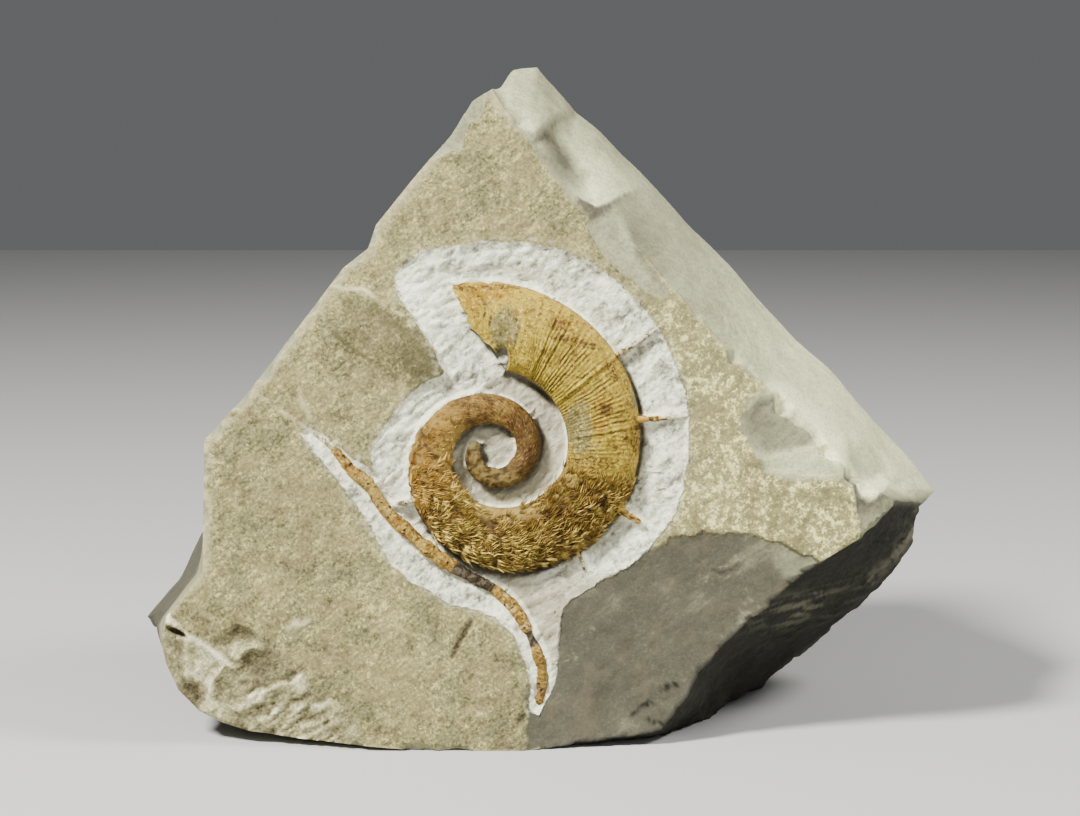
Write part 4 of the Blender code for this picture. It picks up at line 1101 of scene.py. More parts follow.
def weathered_face(t, where, to_right, mottling):
    """Bedding face: stained, crusted pale to the right, with torn layers bare at a corner."""
    broad, patches, fabric, grain = mottling
    weathered = t.add("ShaderNodeValToRGB", {"stops": [
        (0.37, (0.062, 0.055, 0.025)), (0.44, (0.135, 0.121, 0.054)),
        (0.50, (0.200, 0.183, 0.082)), (0.56, (0.285, 0.257, 0.112)),
        (0.64, (0.50, 0.45, 0.19)),
    ]}, {"Fac": grain * 0.65 + fabric * 0.35 + (patches - 0.5) * 0.26 + (broad - 0.5) * 0.14})
    warm = t.noise(where, 8.0, 4.0, 0.6)
    weathered = t.painted(weathered, [
        (t.rise(warm, 0.45, 0.62) * 0.35, (0.30, 0.245, 0.115)),
        (t.rise(warm, 0.50, 0.36) * 0.30, (0.175, 0.175, 0.090)),
    ])
    flecks = t.noise(where, 1.1, 3.0, 0.65) + (patches - 0.5) * 0.45
    weathered = t.blend(t.rise(flecks, 0.60, 0.74) * 0.8, weathered, (0.60, 0.52, 0.22))
    crust = t.noise(where, 1.3, 5.0, 0.78) + (patches - 0.5) * 0.45
    weathered = t.painted(weathered, [
        (to_right * 0.4, (0.305, 0.275, 0.125)),
        (t.rise(crust, 0.50, 0.63) * to_right * 0.9, (0.84, 0.79, 0.35)),
        (t.rise(crust, 0.45, 0.33) * to_right * 0.6, (0.13, 0.118, 0.058)),
    ])
    # Stains and veins, with the painted shadow under the hollow's step below the swell.
    ragged_stains_and_shadow = t.number("stain") + (t.noise(where, 1.6, 4.0, 0.65) - 0.5) * 0.7
    weathered = t.painted(weathered, [
        (t.rise(ragged_stains_and_shadow, 0.0, -0.7) * 0.75, (0.075, 0.066, 0.030)),
        (t.rise(ragged_stains_and_shadow, 0.15, 0.55) * 0.6, (0.40, 0.36, 0.20)),
        (t.rise(ragged_stains_and_shadow, 0.5, 1.0) * 0.65, (0.66, 0.61, 0.40)),
    ])
    laid = t.add("ShaderNodeValToRGB", {"stops": [
        (0.0, (0.022, 0.016, 0.008)), (0.22, (0.095, 0.080, 0.040)), (0.45, (0.225, 0.203, 0.104)),
        (0.62, (0.390, 0.360, 0.190)), (0.80, (0.62, 0.58, 0.36)), (1.0, (0.95, 0.91, 0.68)),
    ]}, {"Fac": t.number("split_tone") * 0.60 + 0.47 + (fabric - 0.5) * 0.8 + (grain - 0.5) * 0.9})
    return t.blend(t.number("split_off") * 0.9, weathered, laid)


def broken_stone(t, where, mottling):
    """Broken stone, dark to pale; its dark end carries the underside's painted shade."""
    _, patches, fabric, grain = mottling
    tone = (t.number("pale") + 0.5) / 1.3
    broken = t.add("ShaderNodeValToRGB", {"stops": [
        (0.0, (0.015, 0.015, 0.011)), (0.45, (0.098, 0.094, 0.064)),
        (0.72, (0.350, 0.355, 0.210)), (1.0, (0.86, 0.85, 0.50)),
    ]}, {"Fac": tone + (patches - 0.5) * 0.24 + (fabric - 0.5) * 0.17})
    specks = t.rise(t.noise(where, 0.7, 4.0, 0.7), 0.50, 0.72)
    broken = t.painted(broken, [
        (specks * 0.16 * t.rise(tone, 0.1, 0.4), (0.36, 0.33, 0.21)),
        (t.rise(grain, 0.53, 0.36) * 0.32, (0.055, 0.050, 0.034)),
    ])
    earthy = t.rise(t.noise(where, 6.0, 4.0, 0.65), 0.50, 0.66) * t.rise(tone, 0.66, 0.52)
    earthy = earthy * t.rise(tone, 0.10, 0.32)
    return t.blend(earthy * 0.34, broken, (0.155, 0.120, 0.074))


def chiselled_stone(t, across, upward, crumbs, mottling):
    """The whitish crumbs of the chiselled hollow, with painted shade in its corners and between the
    turns, and a painted highlight beside the shells.
    """
    broad, patches, _, grain = mottling
    chiselled = t.add("ShaderNodeValToRGB", {"stops": [
        (0.37, (0.210, 0.202, 0.150)), (0.44, (0.45, 0.45, 0.335)),
        (0.51, (0.77, 0.775, 0.585)), (0.60, (0.95, 0.955, 0.76)),
    ]}, {"Fac": crumbs + (patches - 0.5) * 0.30 + (broad - 0.5) * 0.15 + 0.012
         + t.rise(across, -18.0, -32.0) * t.rise(upward, 88.0, 102.0) * 0.07})
    # Painted shade between the turns of the coil, and a darker grey beside the slender shell's
    # tail.
    chiselled = t.blend(t.number("inner") * 0.75, chiselled, (0.36, 0.32, 0.215))
    beside = 1.0 - t.rise(t.number("shell_gap"), 0.25, 1.0)
    return t.painted(chiselled, [
        # Painted highlight: pale stone beside the coil's edges that face the key lamp, and a pale
        # band along the slender shell.
        (beside * 0.75, (0.93, 0.93, 0.70)),
        # Painted shade beside the shells' edges that face away from the key lamp.
        (t.rise(t.number("shade") + (grain - 0.5) * 0.5, 0.15, 0.7) * 0.85,
         (0.075, 0.055, 0.030)),
    ])


def marlstone():
    """Weathered olive marl, pale grey where it is broken and whitish where it was chiselled."""
    material, t = new_material("marlstone")
    where = t.place()
    across = t.add("ShaderNodeSeparateXYZ", (), {0: where})
    upward = t.add("ShaderNodeSeparateXYZ", (), {0: where}, 2)
    tilted = t.add("ShaderNodeVectorRotate", {"rotation_type": "Y_AXIS"}, {
        "Vector": where, "Angle": math.radians(40.0),
    })
    combed = t.add("ShaderNodeVectorMath", {"operation": "MULTIPLY"}, {
        0: tilted, 1: (0.30, 1.0, 1.0),
    })
    # Mottling from broad to fine; the fabric runs along the bedding.
    broad = t.noise(where, 22.0, 3.0)
    patches = t.noise(where, 5.0, 4.0, 0.6)
    fabric = t.noise(combed, 1.1, 4.0, 0.62)
    grain = t.noise(where, 0.8, 4.0, 0.7)
    mottling = broad, patches, fabric, grain
    crumbs = t.noise(where, 1.3, 5.0, 0.70) * 0.5 + t.noise(combed, 2.4, 4.0, 0.62) * 0.5

    # Weathered face, broken stone and chiselled hollow, each laid where it belongs.
    hollow, fresh = t.number("hollow"), t.number("fresh")
    weathered = weathered_face(t, where, t.rise(across, 8.0, 46.0), mottling)
    colour = t.blend(fresh, weathered, broken_stone(t, where, mottling))
    # Painted shadow: a dark line along the rim of the big smooth break, under its step.
    split = t.rise(fresh, 0.05, 0.35) * t.rise(fresh, 0.95, 0.65)
    split = split * t.rise(across, 22.0, 36.0) * t.rise(upward, 58.0, 50.0)
    colour = t.blend(split * 0.75, colour, (0.045, 0.040, 0.024))
    dusted = t.rise(hollow, -2.5, -0.2) * t.rise(t.noise(where, 1.5, 3.0), 0.45, 0.7) * 0.4
    colour = t.blend(dusted * (1.0 - fresh), colour, (0.60, 0.60, 0.42))
    inside = t.rise(hollow + (t.noise(where, 1.2, 3.0) - 0.5) * 1.2, -0.25, 0.45)
    colour = t.blend(inside, colour, chiselled_stone(t, across, upward, crumbs, mottling))
    fine = t.noise(where, 0.32, 2.0)
    rubbed = grain * 0.24 + fine * 0.06 + fabric * 0.18 * (1.0 - fresh * 0.6)
    height = rubbed * (1.0 - fresh * 0.4) + crumbs * inside * 1.3
    t.finish(colour, 0.92, height, 1.0, 0.2)
    return material


def finished_piece(mesh, name, material, node):
    """Link a finished mesh as the piece that stands for one solid of the model."""
    piece = bpy.data.objects.new(name, mesh)
    bpy.context.scene.collection.objects.link(piece)
    mesh.materials.clear()
    mesh.materials.append(material)
    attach(piece, "root")
    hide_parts(node)


block_mesh = make_block()
close_base(block_mesh)
block_mesh.shade_smooth()
block_mesh.set_sharp_from_angle(angle=math.radians(60.0))
finished_piece(block_mesh, "block_finish", marlstone(), "matrix_block")


# ======================================================================================
# Ammonite shell. An open coil, oval in section, of ochre calcite, bedded in the block. Its
# last turn keeps fine ribs, the middle of its length is furred with short crystals, and
# its first turns are worn smooth. Five spines lie on the stone beside it.
# ======================================================================================

# Depth of the coil's middle in the stone, and how thick it is for its width.
AXIS_DEPTH = 3.0
BREADTH = 0.8
RIB_SPACING = 1.0
RIB_HEIGHT = 0.32
TUFT_LENGTH = 2.9
TUFT_BLADES = 6
TUFTS_PER_SQUARE_METRE = 2.1e6
# Between these turn angles the rings lie closer, for the fine ribs.
FINE_TURNS = (-32.0, 100.0)
FINE_RINGS = 0.165
COARSE_RINGS = 0.27
FRONT_COLUMNS = 46
HIDDEN_COLUMNS = 8
SPINE_RINGS = 40
SPINE_SIDES = 14
# From this turn angle on, the tube is pressed flatter and ends along the ragged break.
MOUTH_START = 62.0
MOUTH_PRESSED = 0.62
# Stronger ribs: turn angle, height.
MAIN_RIBS = [(38.3, 0.55), (10.4, 0.30), (65.6, 0.40), (61.0, 0.30), (55.5, 0.18)]
# Patches on the coil: middle, half length, half width, tilt.
MOUTH_NOTCH = [(1.5, 22.4, 3.2, 1.7, 84.0)]
GREY_PATCHES = [
    (20.6, 6.0, 7.0, 3.7, 95.0), (2.6, 30.3, 6.0, 3.9, 82.0), (34.2, 13.2, 2.6, 1.0, 95.0),
]
ORANGE_PATCHES = [
    (-3.0, 39.6, 9.0, 2.2, -12.0), (26.0, 9.0, 6.5, 3.0, 82.0), (16.0, 31.4, 3.4, 1.8, 0.0),
    (31.5, 24.0, 3.5, 1.6, 40.0), (-6.5, 36.8, 3.5, 2.0, -50.0),
]
MOSS = [
    (15.2, 31.3, 2.4, 1.7, 0.0), (19.6, 27.0, 7.0, 1.0, -14.0), (28.4, 19.8, 2.8, 1.7, -60.0),
    (26.6, 10.4, 2.4, 1.4, -10.0), (34.6, 3.0, 4.0, 1.4, 100.0), (24.0, -2.6, 5.0, 1.4, 0.0),
    (-7.6, 40.4, 3.2, 1.0, -10.0), (1.0, 40.6, 5.0, 0.7, 0.0),
]
DARK_SPOTS = [
    (27.3, 10.6, 1.0, 0.7, 0.0), (30.6, 25.6, 1.9, 0.7, -38.0), (35.3, 6.2, 1.5, 0.8, 10.0),
    (11.1, 33.7, 0.8, 0.5, 20.0), (14.7, 31.7, 0.8, 0.4, 60.0), (17.7, 27.5, 1.0, 0.35, 60.0),
    (22.1, 26.3, 1.0, 0.4, 20.0), (23.8, 25.3, 0.8, 0.4, 0.0), (-1.2, 32.2, 2.0, 0.45, 80.0),
    (-2.6, 33.6, 1.2, 0.4, 70.0), (5.2, 32.4, 0.5, 0.4, 0.0), (-2.6, 36.2, 0.8, 0.5, 0.0),
    (32.0, 3.4, 1.0, 0.5, 30.0), (36.2, -0.6, 1.6, 0.5, 80.0), (29.6, 1.2, 0.9, 0.5, 0.0),
]
# Fine cracks across the last turns.
CRACKS = [
    [(8.1, 32.6), (7.6, 30.0), (7.5, 27.3), (6.4, 24.9)],
    [(6.3, 31.0), (5.4, 27.8), (4.6, 25.2)],
    [(0.4, 24.9), (3.6, 25.3), (4.2, 22.6), (6.6, 20.6)],
    [(-4.0, 38.2), (-1.4, 36.0), (3.0, 35.4)], [(18.2, -1.8), (21.4, -2.0), (24.0, -1.0)],
]
# Direction that the crystals lie in: turn angle, tilt.
FUR_LIE = [(-240.0, 62.0), (-190.0, 40.0), (-150.0, 15.0), (-90.0, 22.0), (-60.0, 36.0),
           (-20.0, 58.0)]


def spots(flat, table):
    """Soft elliptical patches: middle, half length, half width and tilt of each."""
    total = np.zeros(len(flat))
    for u, v, length, width, tilt in table:
        along, over = turned(flat, (u, v), tilt)
        total = np.maximum(total, 1.6 - (along / length) ** 2 - (over / width) ** 2)
    return np.clip(total / 1.6, 0.0, 1.0)


def coil_turns():
    """Turn angles of the rings, closest together where the fine ribs are."""
    turns = [COIL[0][0]]
    while turns[-1] < COIL[-1][0]:
        inner, outer = smooth_curve(COIL, [turns[-1]])[0]
        length = FINE_RINGS if FINE_TURNS[0] < turns[-1] < FINE_TURNS[1] else COARSE_RINGS
        turns.append(turns[-1] + math.degrees(2.0 * length / (inner + outer)))
    turns[-1] = COIL[-1][0]
    return np.array(turns)


def tube_faces(rows, columns):
    """Faces of a tube of rings, closed at each end on a point; the two points come last."""
    index = np.arange(rows * columns).reshape(rows, columns)
    ahead = np.roll(index, -1, axis=1)
    wall = np.stack([index[:-1], ahead[:-1], ahead[1:], index[1:]], axis=2)
    faces = wall.reshape(-1, 4).tolist()
    faces += [[int(a), int(b), rows * columns] for a, b in zip(ahead[0], index[0])]
    faces += [[int(a), int(b), rows * columns + 1] for a, b in zip(index[-1], ahead[-1])]
    return faces


def coil_bumps(plane, place, radius, crest, cracked, notched):
    """How far the wall stands out: strong ribs, plates at the mouth, cracks and the notch."""
    bump = -0.28 * cracked
    for turn, rise in MAIN_RIBS:
        away = np.radians(place - turn) * radius
        ridge = np.exp(-((away / 0.45) ** 2)) - 0.4 * np.exp(-(((away + 0.8) / 0.32) ** 2))
        bump += rise * ridge
    bump -= 2.4 * ease(notched * 2.0)
    plates = ease((place - 60.0) / 10.0) * cloud(plane, 3.4, 3, 9.1).reshape(radius.shape)
    bump += 0.45 * plates
    return bump * ease(crest / 0.35)


def make_coil():
    """The coil's wall as rings of points, closed at both ends, with its numbers."""
    turns = coil_turns()
    inner, outer = smooth_curve(COIL, turns).T
    middle, half = 0.5 * (inner + outer), 0.5 * (outer - inner)
    front = np.linspace(-math.pi, 0.0, FRONT_COLUMNS, endpoint=False)
    hidden = np.linspace(0.0, math.pi, HIDDEN_COLUMNS, endpoint=False)
    around = np.concatenate([front, hidden])
    radius = middle[:, None] + half[:, None] * np.cos(around)
    share = np.clip((turns - MOUTH_START) / (turns[-1] - MOUTH_START), 0.0, 1.0)
    pressed = 1.0 - MOUTH_PRESSED * ease(share)
    height = (half * BREADTH * pressed)[:, None] * np.sin(around)
    across = np.column_stack([radius.ravel(), height.ravel()])
    ragged = mouth_turn(radius) + 1.6 * cloud(across, 2.2, 3, 3.3).reshape(radius.shape)
    share = share[:, None]
    place = np.where(share > 0.0, MOUTH_START + (ragged - MOUTH_START) * share, turns[:, None])
    tip = np.sqrt(np.clip((turns - turns[0] + 1.0) / 12.0, 0.0, 1.0))[:, None]
    radius = middle[:, None] + (radius - middle[:, None]) * tip
    angle = np.radians(place)
    flat = np.stack([radius * np.cos(angle), radius * np.sin(angle)], axis=2)

    side = np.broadcast_to(np.cos(around), radius.shape)
    crest = np.broadcast_to(np.maximum(-np.sin(around), 0.0), radius.shape)
    plane = flat.reshape(-1, 2)
    cracked = np.min([line_gap(plane, line) for line in CRACKS], axis=0)
    cracked = np.exp(-((cracked / 0.28) ** 2)).reshape(radius.shape)
    notched = spots(plane, MOUTH_NOTCH).reshape(radius.shape)
    depth = AXIS_DEPTH + height * tip
    depth = depth - coil_bumps(plane, place, radius, crest, cracked, notched)
    points = np.concatenate([flat, depth[:, :, None]], axis=2)
    ends = [points[0].mean(axis=0), points[-1].mean(axis=0)]
    points = np.concatenate([points.reshape(-1, 3), ends])

    axis = np.column_stack([middle * np.cos(np.radians(turns)), middle * np.sin(np.radians(turns))])
    growth = np.append(0.0, np.cumsum(np.linalg.norm(np.diff(axis, axis=0), axis=1)))
    mesh = bpy.data.meshes.new("coil")
    mesh.from_pydata(face_points(points).tolist(), [], tube_faces(*radius.shape))
    numbers = {
        "turn": place, "growth": growth[:, None], "side": side, "crest": crest,
        "girth": half[:, None] * around, "cracked": cracked, "notched": notched,
    }
    for name, values in numbers.items():
        values = np.broadcast_to(values, radius.shape).ravel()
        add_numbers(mesh, {name: np.append(values, [values[0], values[-1]])})
    patches = {"grey": GREY_PATCHES, "moss": MOSS, "orange": ORANGE_PATCHES, "dark": DARK_SPOTS}
    for name, table in patches.items():
        add_numbers(mesh, {name: np.append(spots(plane, table), [0.0, 0.0])})
    add_numbers(mesh, {"spine": np.zeros(len(points)), "rusty": np.zeros(len(points))})

    lie = smooth_curve(FUR_LIE, np.clip(place, FUR_LIE[0][0], FUR_LIE[-1][0]).ravel())[:, 0]
    lie = np.radians(lie + 75.0 * cloud(plane, 4.2, 2, 2.0))
    flow = np.vstack([np.column_stack([np.cos(lie), np.sin(lie)]), np.ones((2, 2))])
    add_flow(mesh, flow)
    return mesh


def add_flow(mesh, flow):
    """The direction that the crystals lie in, as a vector in the model's frame."""
    lying = np.column_stack([flow, np.zeros(len(flow))])
    directions = (face_points(lying) - face_points(np.zeros((1, 3)))) / MM
    layer = mesh.attributes.new("flow", "FLOAT_VECTOR", "POINT")
    layer.data.foreach_set("vector", directions.astype(np.float32).ravel())


def tapered_rod(name, line, radii, sides, roughness):
    """A rod along a line of points, closed at both ends, with a rough wall."""
    line = np.asarray(line, dtype=float)
    along = np.gradient(line, axis=0)
    along /= np.linalg.norm(along, axis=1)[:, None]
    across = np.cross(along, (0.0, 0.0, 1.0))
    across /= np.linalg.norm(across, axis=1)[:, None]
    up = np.cross(across, along)
    angle = np.arange(sides) * math.tau / sides
    cosine, sine = np.cos(angle)[None, :, None], np.sin(angle)[None, :, None]
    out = across[:, None] * cosine + up[:, None] * sine
    points = (line[:, None] + out * np.asarray(radii)[:, None, None]).reshape(-1, 3)
    lumps = roughness * cloud(points, 0.9, 3, 5.1)
    points += out.reshape(-1, 3) * lumps[:, None]
    points = np.concatenate([points, line[:1], line[-1:]])
    mesh = bpy.data.meshes.new(name)
    mesh.from_pydata(face_points(points).tolist(), [], tube_faces(len(line), sides))
    return mesh, np.append(np.repeat(np.linspace(0.0, 1.0, len(line)), sides), [0.0, 1.0])


def make_spine(number, root, tip, root_radius, tip_radius, rust):
    """One hollow spine of the shell, crushed and rough, lying on the stone."""
    share = np.linspace(0.0, 1.0, SPINE_RINGS)
    line = np.array(root) + (np.array(tip) - np.array(root)) * share[:, None]
    line[:, 2] -= 0.4
    wander = np.column_stack([np.sin(share * 5.0 + number), np.cos(share * 4.0)])
    line[:, :2] += 0.5 * wander * (share * (1.0 - share))[:, None]
    radii = root_radius + (tip_radius - root_radius) * share
    radii *= 1.0 + 0.25 * cloud(np.column_stack([share * 7.0, share + number]), 1.0, 2, 4.4)
    radii *= np.sqrt(np.clip((1.0 - share) / 0.04, 0.05, 1.0))
    mesh, reach = tapered_rod(f"spine_{number}", line, radii, SPINE_SIDES, 0.22)
    count = len(reach)
    numbers = {"turn": np.full(count, 30.0), "growth": reach, "side": np.ones(count),
               "spine": 1.0 + reach, "rusty": np.full(count, rust)}
    for name in ("girth", "crest", "cracked", "grey", "orange", "moss", "dark", "notched"):
        numbers[name] = np.zeros(count)
    add_numbers(mesh, numbers)
    add_flow(mesh, np.tile([1.0, 0.0], (count, 1)))
    return mesh


def make_tuft():
    """A few crystal blades that fan out from one root, lying along +X, a unit long."""
    shake = random.Random(21)
    vertices, faces, reach = [], [], []
    for blade in range(TUFT_BLADES):
        fan = 34.0 * blade / (TUFT_BLADES - 1.0)
        apart = 0.12 * (blade - (TUFT_BLADES - 1.0) / 2.0)
        turn = math.radians(-17.0 + fan + shake.uniform(-5.0, 5.0))
        length = shake.uniform(0.6, 1.1)
        base = Vector((shake.uniform(-0.15, 0.15), apart, -0.08))
        ahead = Vector((math.cos(turn), math.sin(turn), shake.uniform(-0.04, 0.06)))
        aside = Vector((-math.sin(turn), math.cos(turn), 0.0)) * shake.uniform(0.030, 0.050)
        lift = Vector((0.0, 0.0, shake.uniform(0.07, 0.12)))
        waist = base + ahead * length * 0.45
        first = len(vertices)
        vertices += [base, waist + aside, waist + lift, waist - aside, waist - lift * 0.5,
                     base + ahead * length]
        reach += [0.0, 0.5, 0.75, 0.5, 0.3, 1.0]
        for i in range(4):
            here, after = first + 1 + i, first + 1 + (i + 1) % 4
            faces += [(first, after, here), (first + 5, here, after)]
    mesh = bpy.data.meshes.new("tuft")
    mesh.from_pydata(vertices, [], faces)
    add_numbers(mesh, {"tip": reach})
    tuft = bpy.data.objects.new("tuft", mesh)
    bpy.context.scene.collection.objects.link(tuft)
    return tuft


def joined(name, meshes):
    """One object holding several meshes, with the numbers on their points."""
    parts = [bpy.data.objects.new(name, mesh) for mesh in meshes]
    for part in parts:
        bpy.context.scene.collection.objects.link(part)
    with bpy.context.temp_override(
        active_object=parts[0], object=parts[0], selected_objects=parts,
        selected_editable_objects=parts,
    ):
        bpy.ops.object.join()
    return parts[0]


def plain_result(thing, tree, values):
    """Grow a geometry tree on an object and keep the result as a plain mesh."""
    modifier = thing.modifiers.new(tree.name, "NODES")
    modifier.node_group = tree
    sockets = {s.name: s.identifier for s in tree.interface.items_tree if s.in_out == "INPUT"}
    for name, value in values.items():
        modifier[sockets[name]] = value
    bpy.context.view_layer.update()
    evaluated = thing.evaluated_get(bpy.context.evaluated_depsgraph_get())
    mesh = bpy.data.meshes.new_from_object(evaluated)
    thing.modifiers.clear()
    bpy.data.objects.remove(thing, do_unlink=True)
    return mesh


def new_geometry_tree(name, inputs):
    """An empty geometry tree, what it is built in, and what is given to it by name."""
    group = bpy.data.node_groups.new(name, "GeometryNodeTree")
    inputs = [("Geometry", "NodeSocketGeometry")] + inputs
    for label, kind in inputs:
        group.interface.new_socket(label, in_out="INPUT", socket_type=kind)
    group.interface.new_socket("Geometry", in_out="OUTPUT", socket_type="NodeSocketGeometry")
    t = Tree(group)
    source = group.nodes.new("NodeGroupInput")
    return group, t, {label: Wire(t, source.outputs[label]) for label, _ in inputs}


def kept(t, name, kind="FLOAT"):
    """A value kept on the points of the mesh that a geometry tree works on."""
    return t.add("GeometryNodeInputNamedAttribute", {"data_type": kind}, {"Name": name})


def scaled(t, vector, scale):
    """A vector times a number."""
    return t.add("ShaderNodeVectorMath", {"operation": "SCALE"}, {0: vector, "Scale": scale})


def chance(t, low, high, seed):
    """A random number for each point."""
    limits = {2: low, 3: high, "Seed": seed}
    return t.add("FunctionNodeRandomValue", {"data_type": "FLOAT"}, limits, 1)


def coil_fields(t):
    """The place in millimetres, what isn't a spine, and what is furred with crystals."""
    place = scaled(t, t.add("GeometryNodeInputPosition"), 1.0 / MM)
    not_spine = 1.0 - t.rise(kept(t, "spine"), 0.2, 0.6)
    turn = kept(t, "turn")
    furred = t.rise(turn, -250.0, -190.0) * (1.0 - t.rise(turn, -22.0, -6.0))
    return place, not_spine, furred


def ribbed_coil(t, given):
    """Fine ribs on the coil's last turn, furrows and lumps on the turns before it."""
    names = ("turn", "growth", "side", "crest", "grey")
    turn, growth, side, crest, grey = (kept(t, name) for name in names)
    place, not_spine, furred = coil_fields(t)
    wobble = t.noise(place, 4.0, 3.0)
    phase = growth / given["Rib spacing"] + (wobble - 0.5) * 1.2
    ribbed = t.rise(turn, -20.0, -4.0) * (0.6 + t.rise(turn, 9.0, 14.0) * 0.4)
    ribbed = ribbed * (1.0 - t.rise(turn, 64.0, 74.0) * 0.85)
    each = t.add("ShaderNodeTexWhiteNoise", {"noise_dimensions": "1D"}, {
        "W": t.maths("FLOOR", phase),
    })
    wave = t.maths("COSINE", phase * math.tau)
    flank = 1.0 - t.rise(side, 0.30, 0.85) * 0.80
    worn = t.rise(t.noise(place, 2.2, 3.0), 0.38, 0.52)
    rib = wave * 0.5 * (0.30 + each * 0.90) * ribbed * flank * (0.25 + worn * 0.75)
    rib = rib * (1.0 - grey * 0.6)
    first_turns = 1.0 - t.rise(turn, -400.0, -350.0)
    lumps = (t.noise(place, 1.7, 2.0) - 0.5) * 1.7 * first_turns
    furrows = (t.noise(place, 1.9, 3.0) - 0.5) * 2.2 * t.rise(turn, -190.0, -150.0) * furred
    uneven = (t.noise(place, 4.5, 3.0) - 0.5) * 0.9 + (t.noise(place, 1.2, 3.0) - 0.5) * 0.5
    facing = t.rise(crest, 0.0, 0.3)
    lift = (rib * given["Rib height"] + lumps + furrows + uneven) * not_spine * facing
    offset = scaled(t, t.add("GeometryNodeInputNormal"), lift * MM)
    ribbed_shell = t.add("GeometryNodeSetPosition", (), {
        "Geometry": given["Geometry"], "Offset": offset,
    })
    return t.add("GeometryNodeStoreNamedAttribute", {"data_type": "FLOAT"}, {
        "Geometry": ribbed_shell, "Name": "rib", "Value": rib,
    })


def crystal_tufts(t, given, ribbed_shell):
    """Tufts of crystals in clumps on the furred part, each lying along the flow."""
    turn, side, crest = (kept(t, name) for name in ("turn", "side", "crest"))
    place, not_spine, furred = coil_fields(t)
    clumps = t.rise(t.noise(place, 1.9, 2.0), 0.42, 0.52)
    bare = 1.0 - t.rise(turn, -130.0, -100.0) * (1.0 - t.rise(turn, -75.0, -50.0)) * (
        1.0 - t.rise(side, -0.75, -0.35)
    )
    density = given["Tufts per square metre"] * furred * t.rise(crest, 0.08, 0.3) * not_spine
    scattered = t.add("GeometryNodeDistributePointsOnFaces", (), {
        "Mesh": ribbed_shell, "Density": density * clumps * bare, "Seed": given["Seed"],
    })
    wall = Wire(t, scattered.socket.node.outputs["Normal"])
    upright = t.add("FunctionNodeAlignRotationToVector", {"axis": "Z"}, {"Vector": wall})
    stray = t.add("FunctionNodeRandomValue", {"data_type": "FLOAT_VECTOR"}, {
        "Min": (-0.20, -0.20, -0.20), "Max": (0.20, 0.20, 0.20), "Seed": 3,
    })
    strayed = t.add("ShaderNodeVectorMath", {"operation": "ADD"}, {
        0: kept(t, "flow", "FLOAT_VECTOR"), 1: stray,
    })
    lying = t.add("FunctionNodeAlignRotationToVector", {"axis": "X", "pivot_axis": "Z"}, {
        "Rotation": upright, "Vector": strayed,
    })
    grown = 0.42 + t.rise(turn, -230.0, -120.0) * 0.58
    size = chance(t, 0.75, 1.25, 5) * given["Tuft length"] * grown
    tufts = t.add("GeometryNodeInstanceOnPoints", (), {
        "Points": scattered, "Rotation": lying, "Scale": size,
        "Instance": t.add("GeometryNodeObjectInfo", (), {"Object": given["Tuft"]}, "Geometry"),
    })
    return t.add("GeometryNodeStoreNamedAttribute", {"data_type": "FLOAT", "domain": "INSTANCE"}, {
        "Geometry": tufts, "Name": "tint", "Value": chance(t, 0.1, 1.0, 8),
    })


def shell_growth_tree():
    """Ribs raised across the coil, then crystal tufts scattered over its furred part."""
    group, t, given = new_geometry_tree("shell_growth", [
        ("Rib spacing", "NodeSocketFloat"), ("Rib height", "NodeSocketFloat"),
        ("Tuft", "NodeSocketObject"), ("Tufts per square metre", "NodeSocketFloat"),
        ("Tuft length", "NodeSocketFloat"), ("Seed", "NodeSocketInt"),
        ("Finish", "NodeSocketMaterial"),
    ])
    ribbed_shell = ribbed_coil(t, given)
    tufts = crystal_tufts(t, given, ribbed_shell)
    whole = t.add("GeometryNodeJoinGeometry", (), {"Geometry": tufts})
    t.tree.links.new(ribbed_shell.socket, whole.socket.node.inputs[0])
    whole = t.add("GeometryNodeRealizeInstances", (), {"Geometry": whole})
    whole = t.add("GeometryNodeSetMaterial", (), {"Geometry": whole, "Material": given["Finish"]})
    t.tree.links.new(whole.socket, group.nodes.new("NodeGroupOutput").inputs[0])
    return group


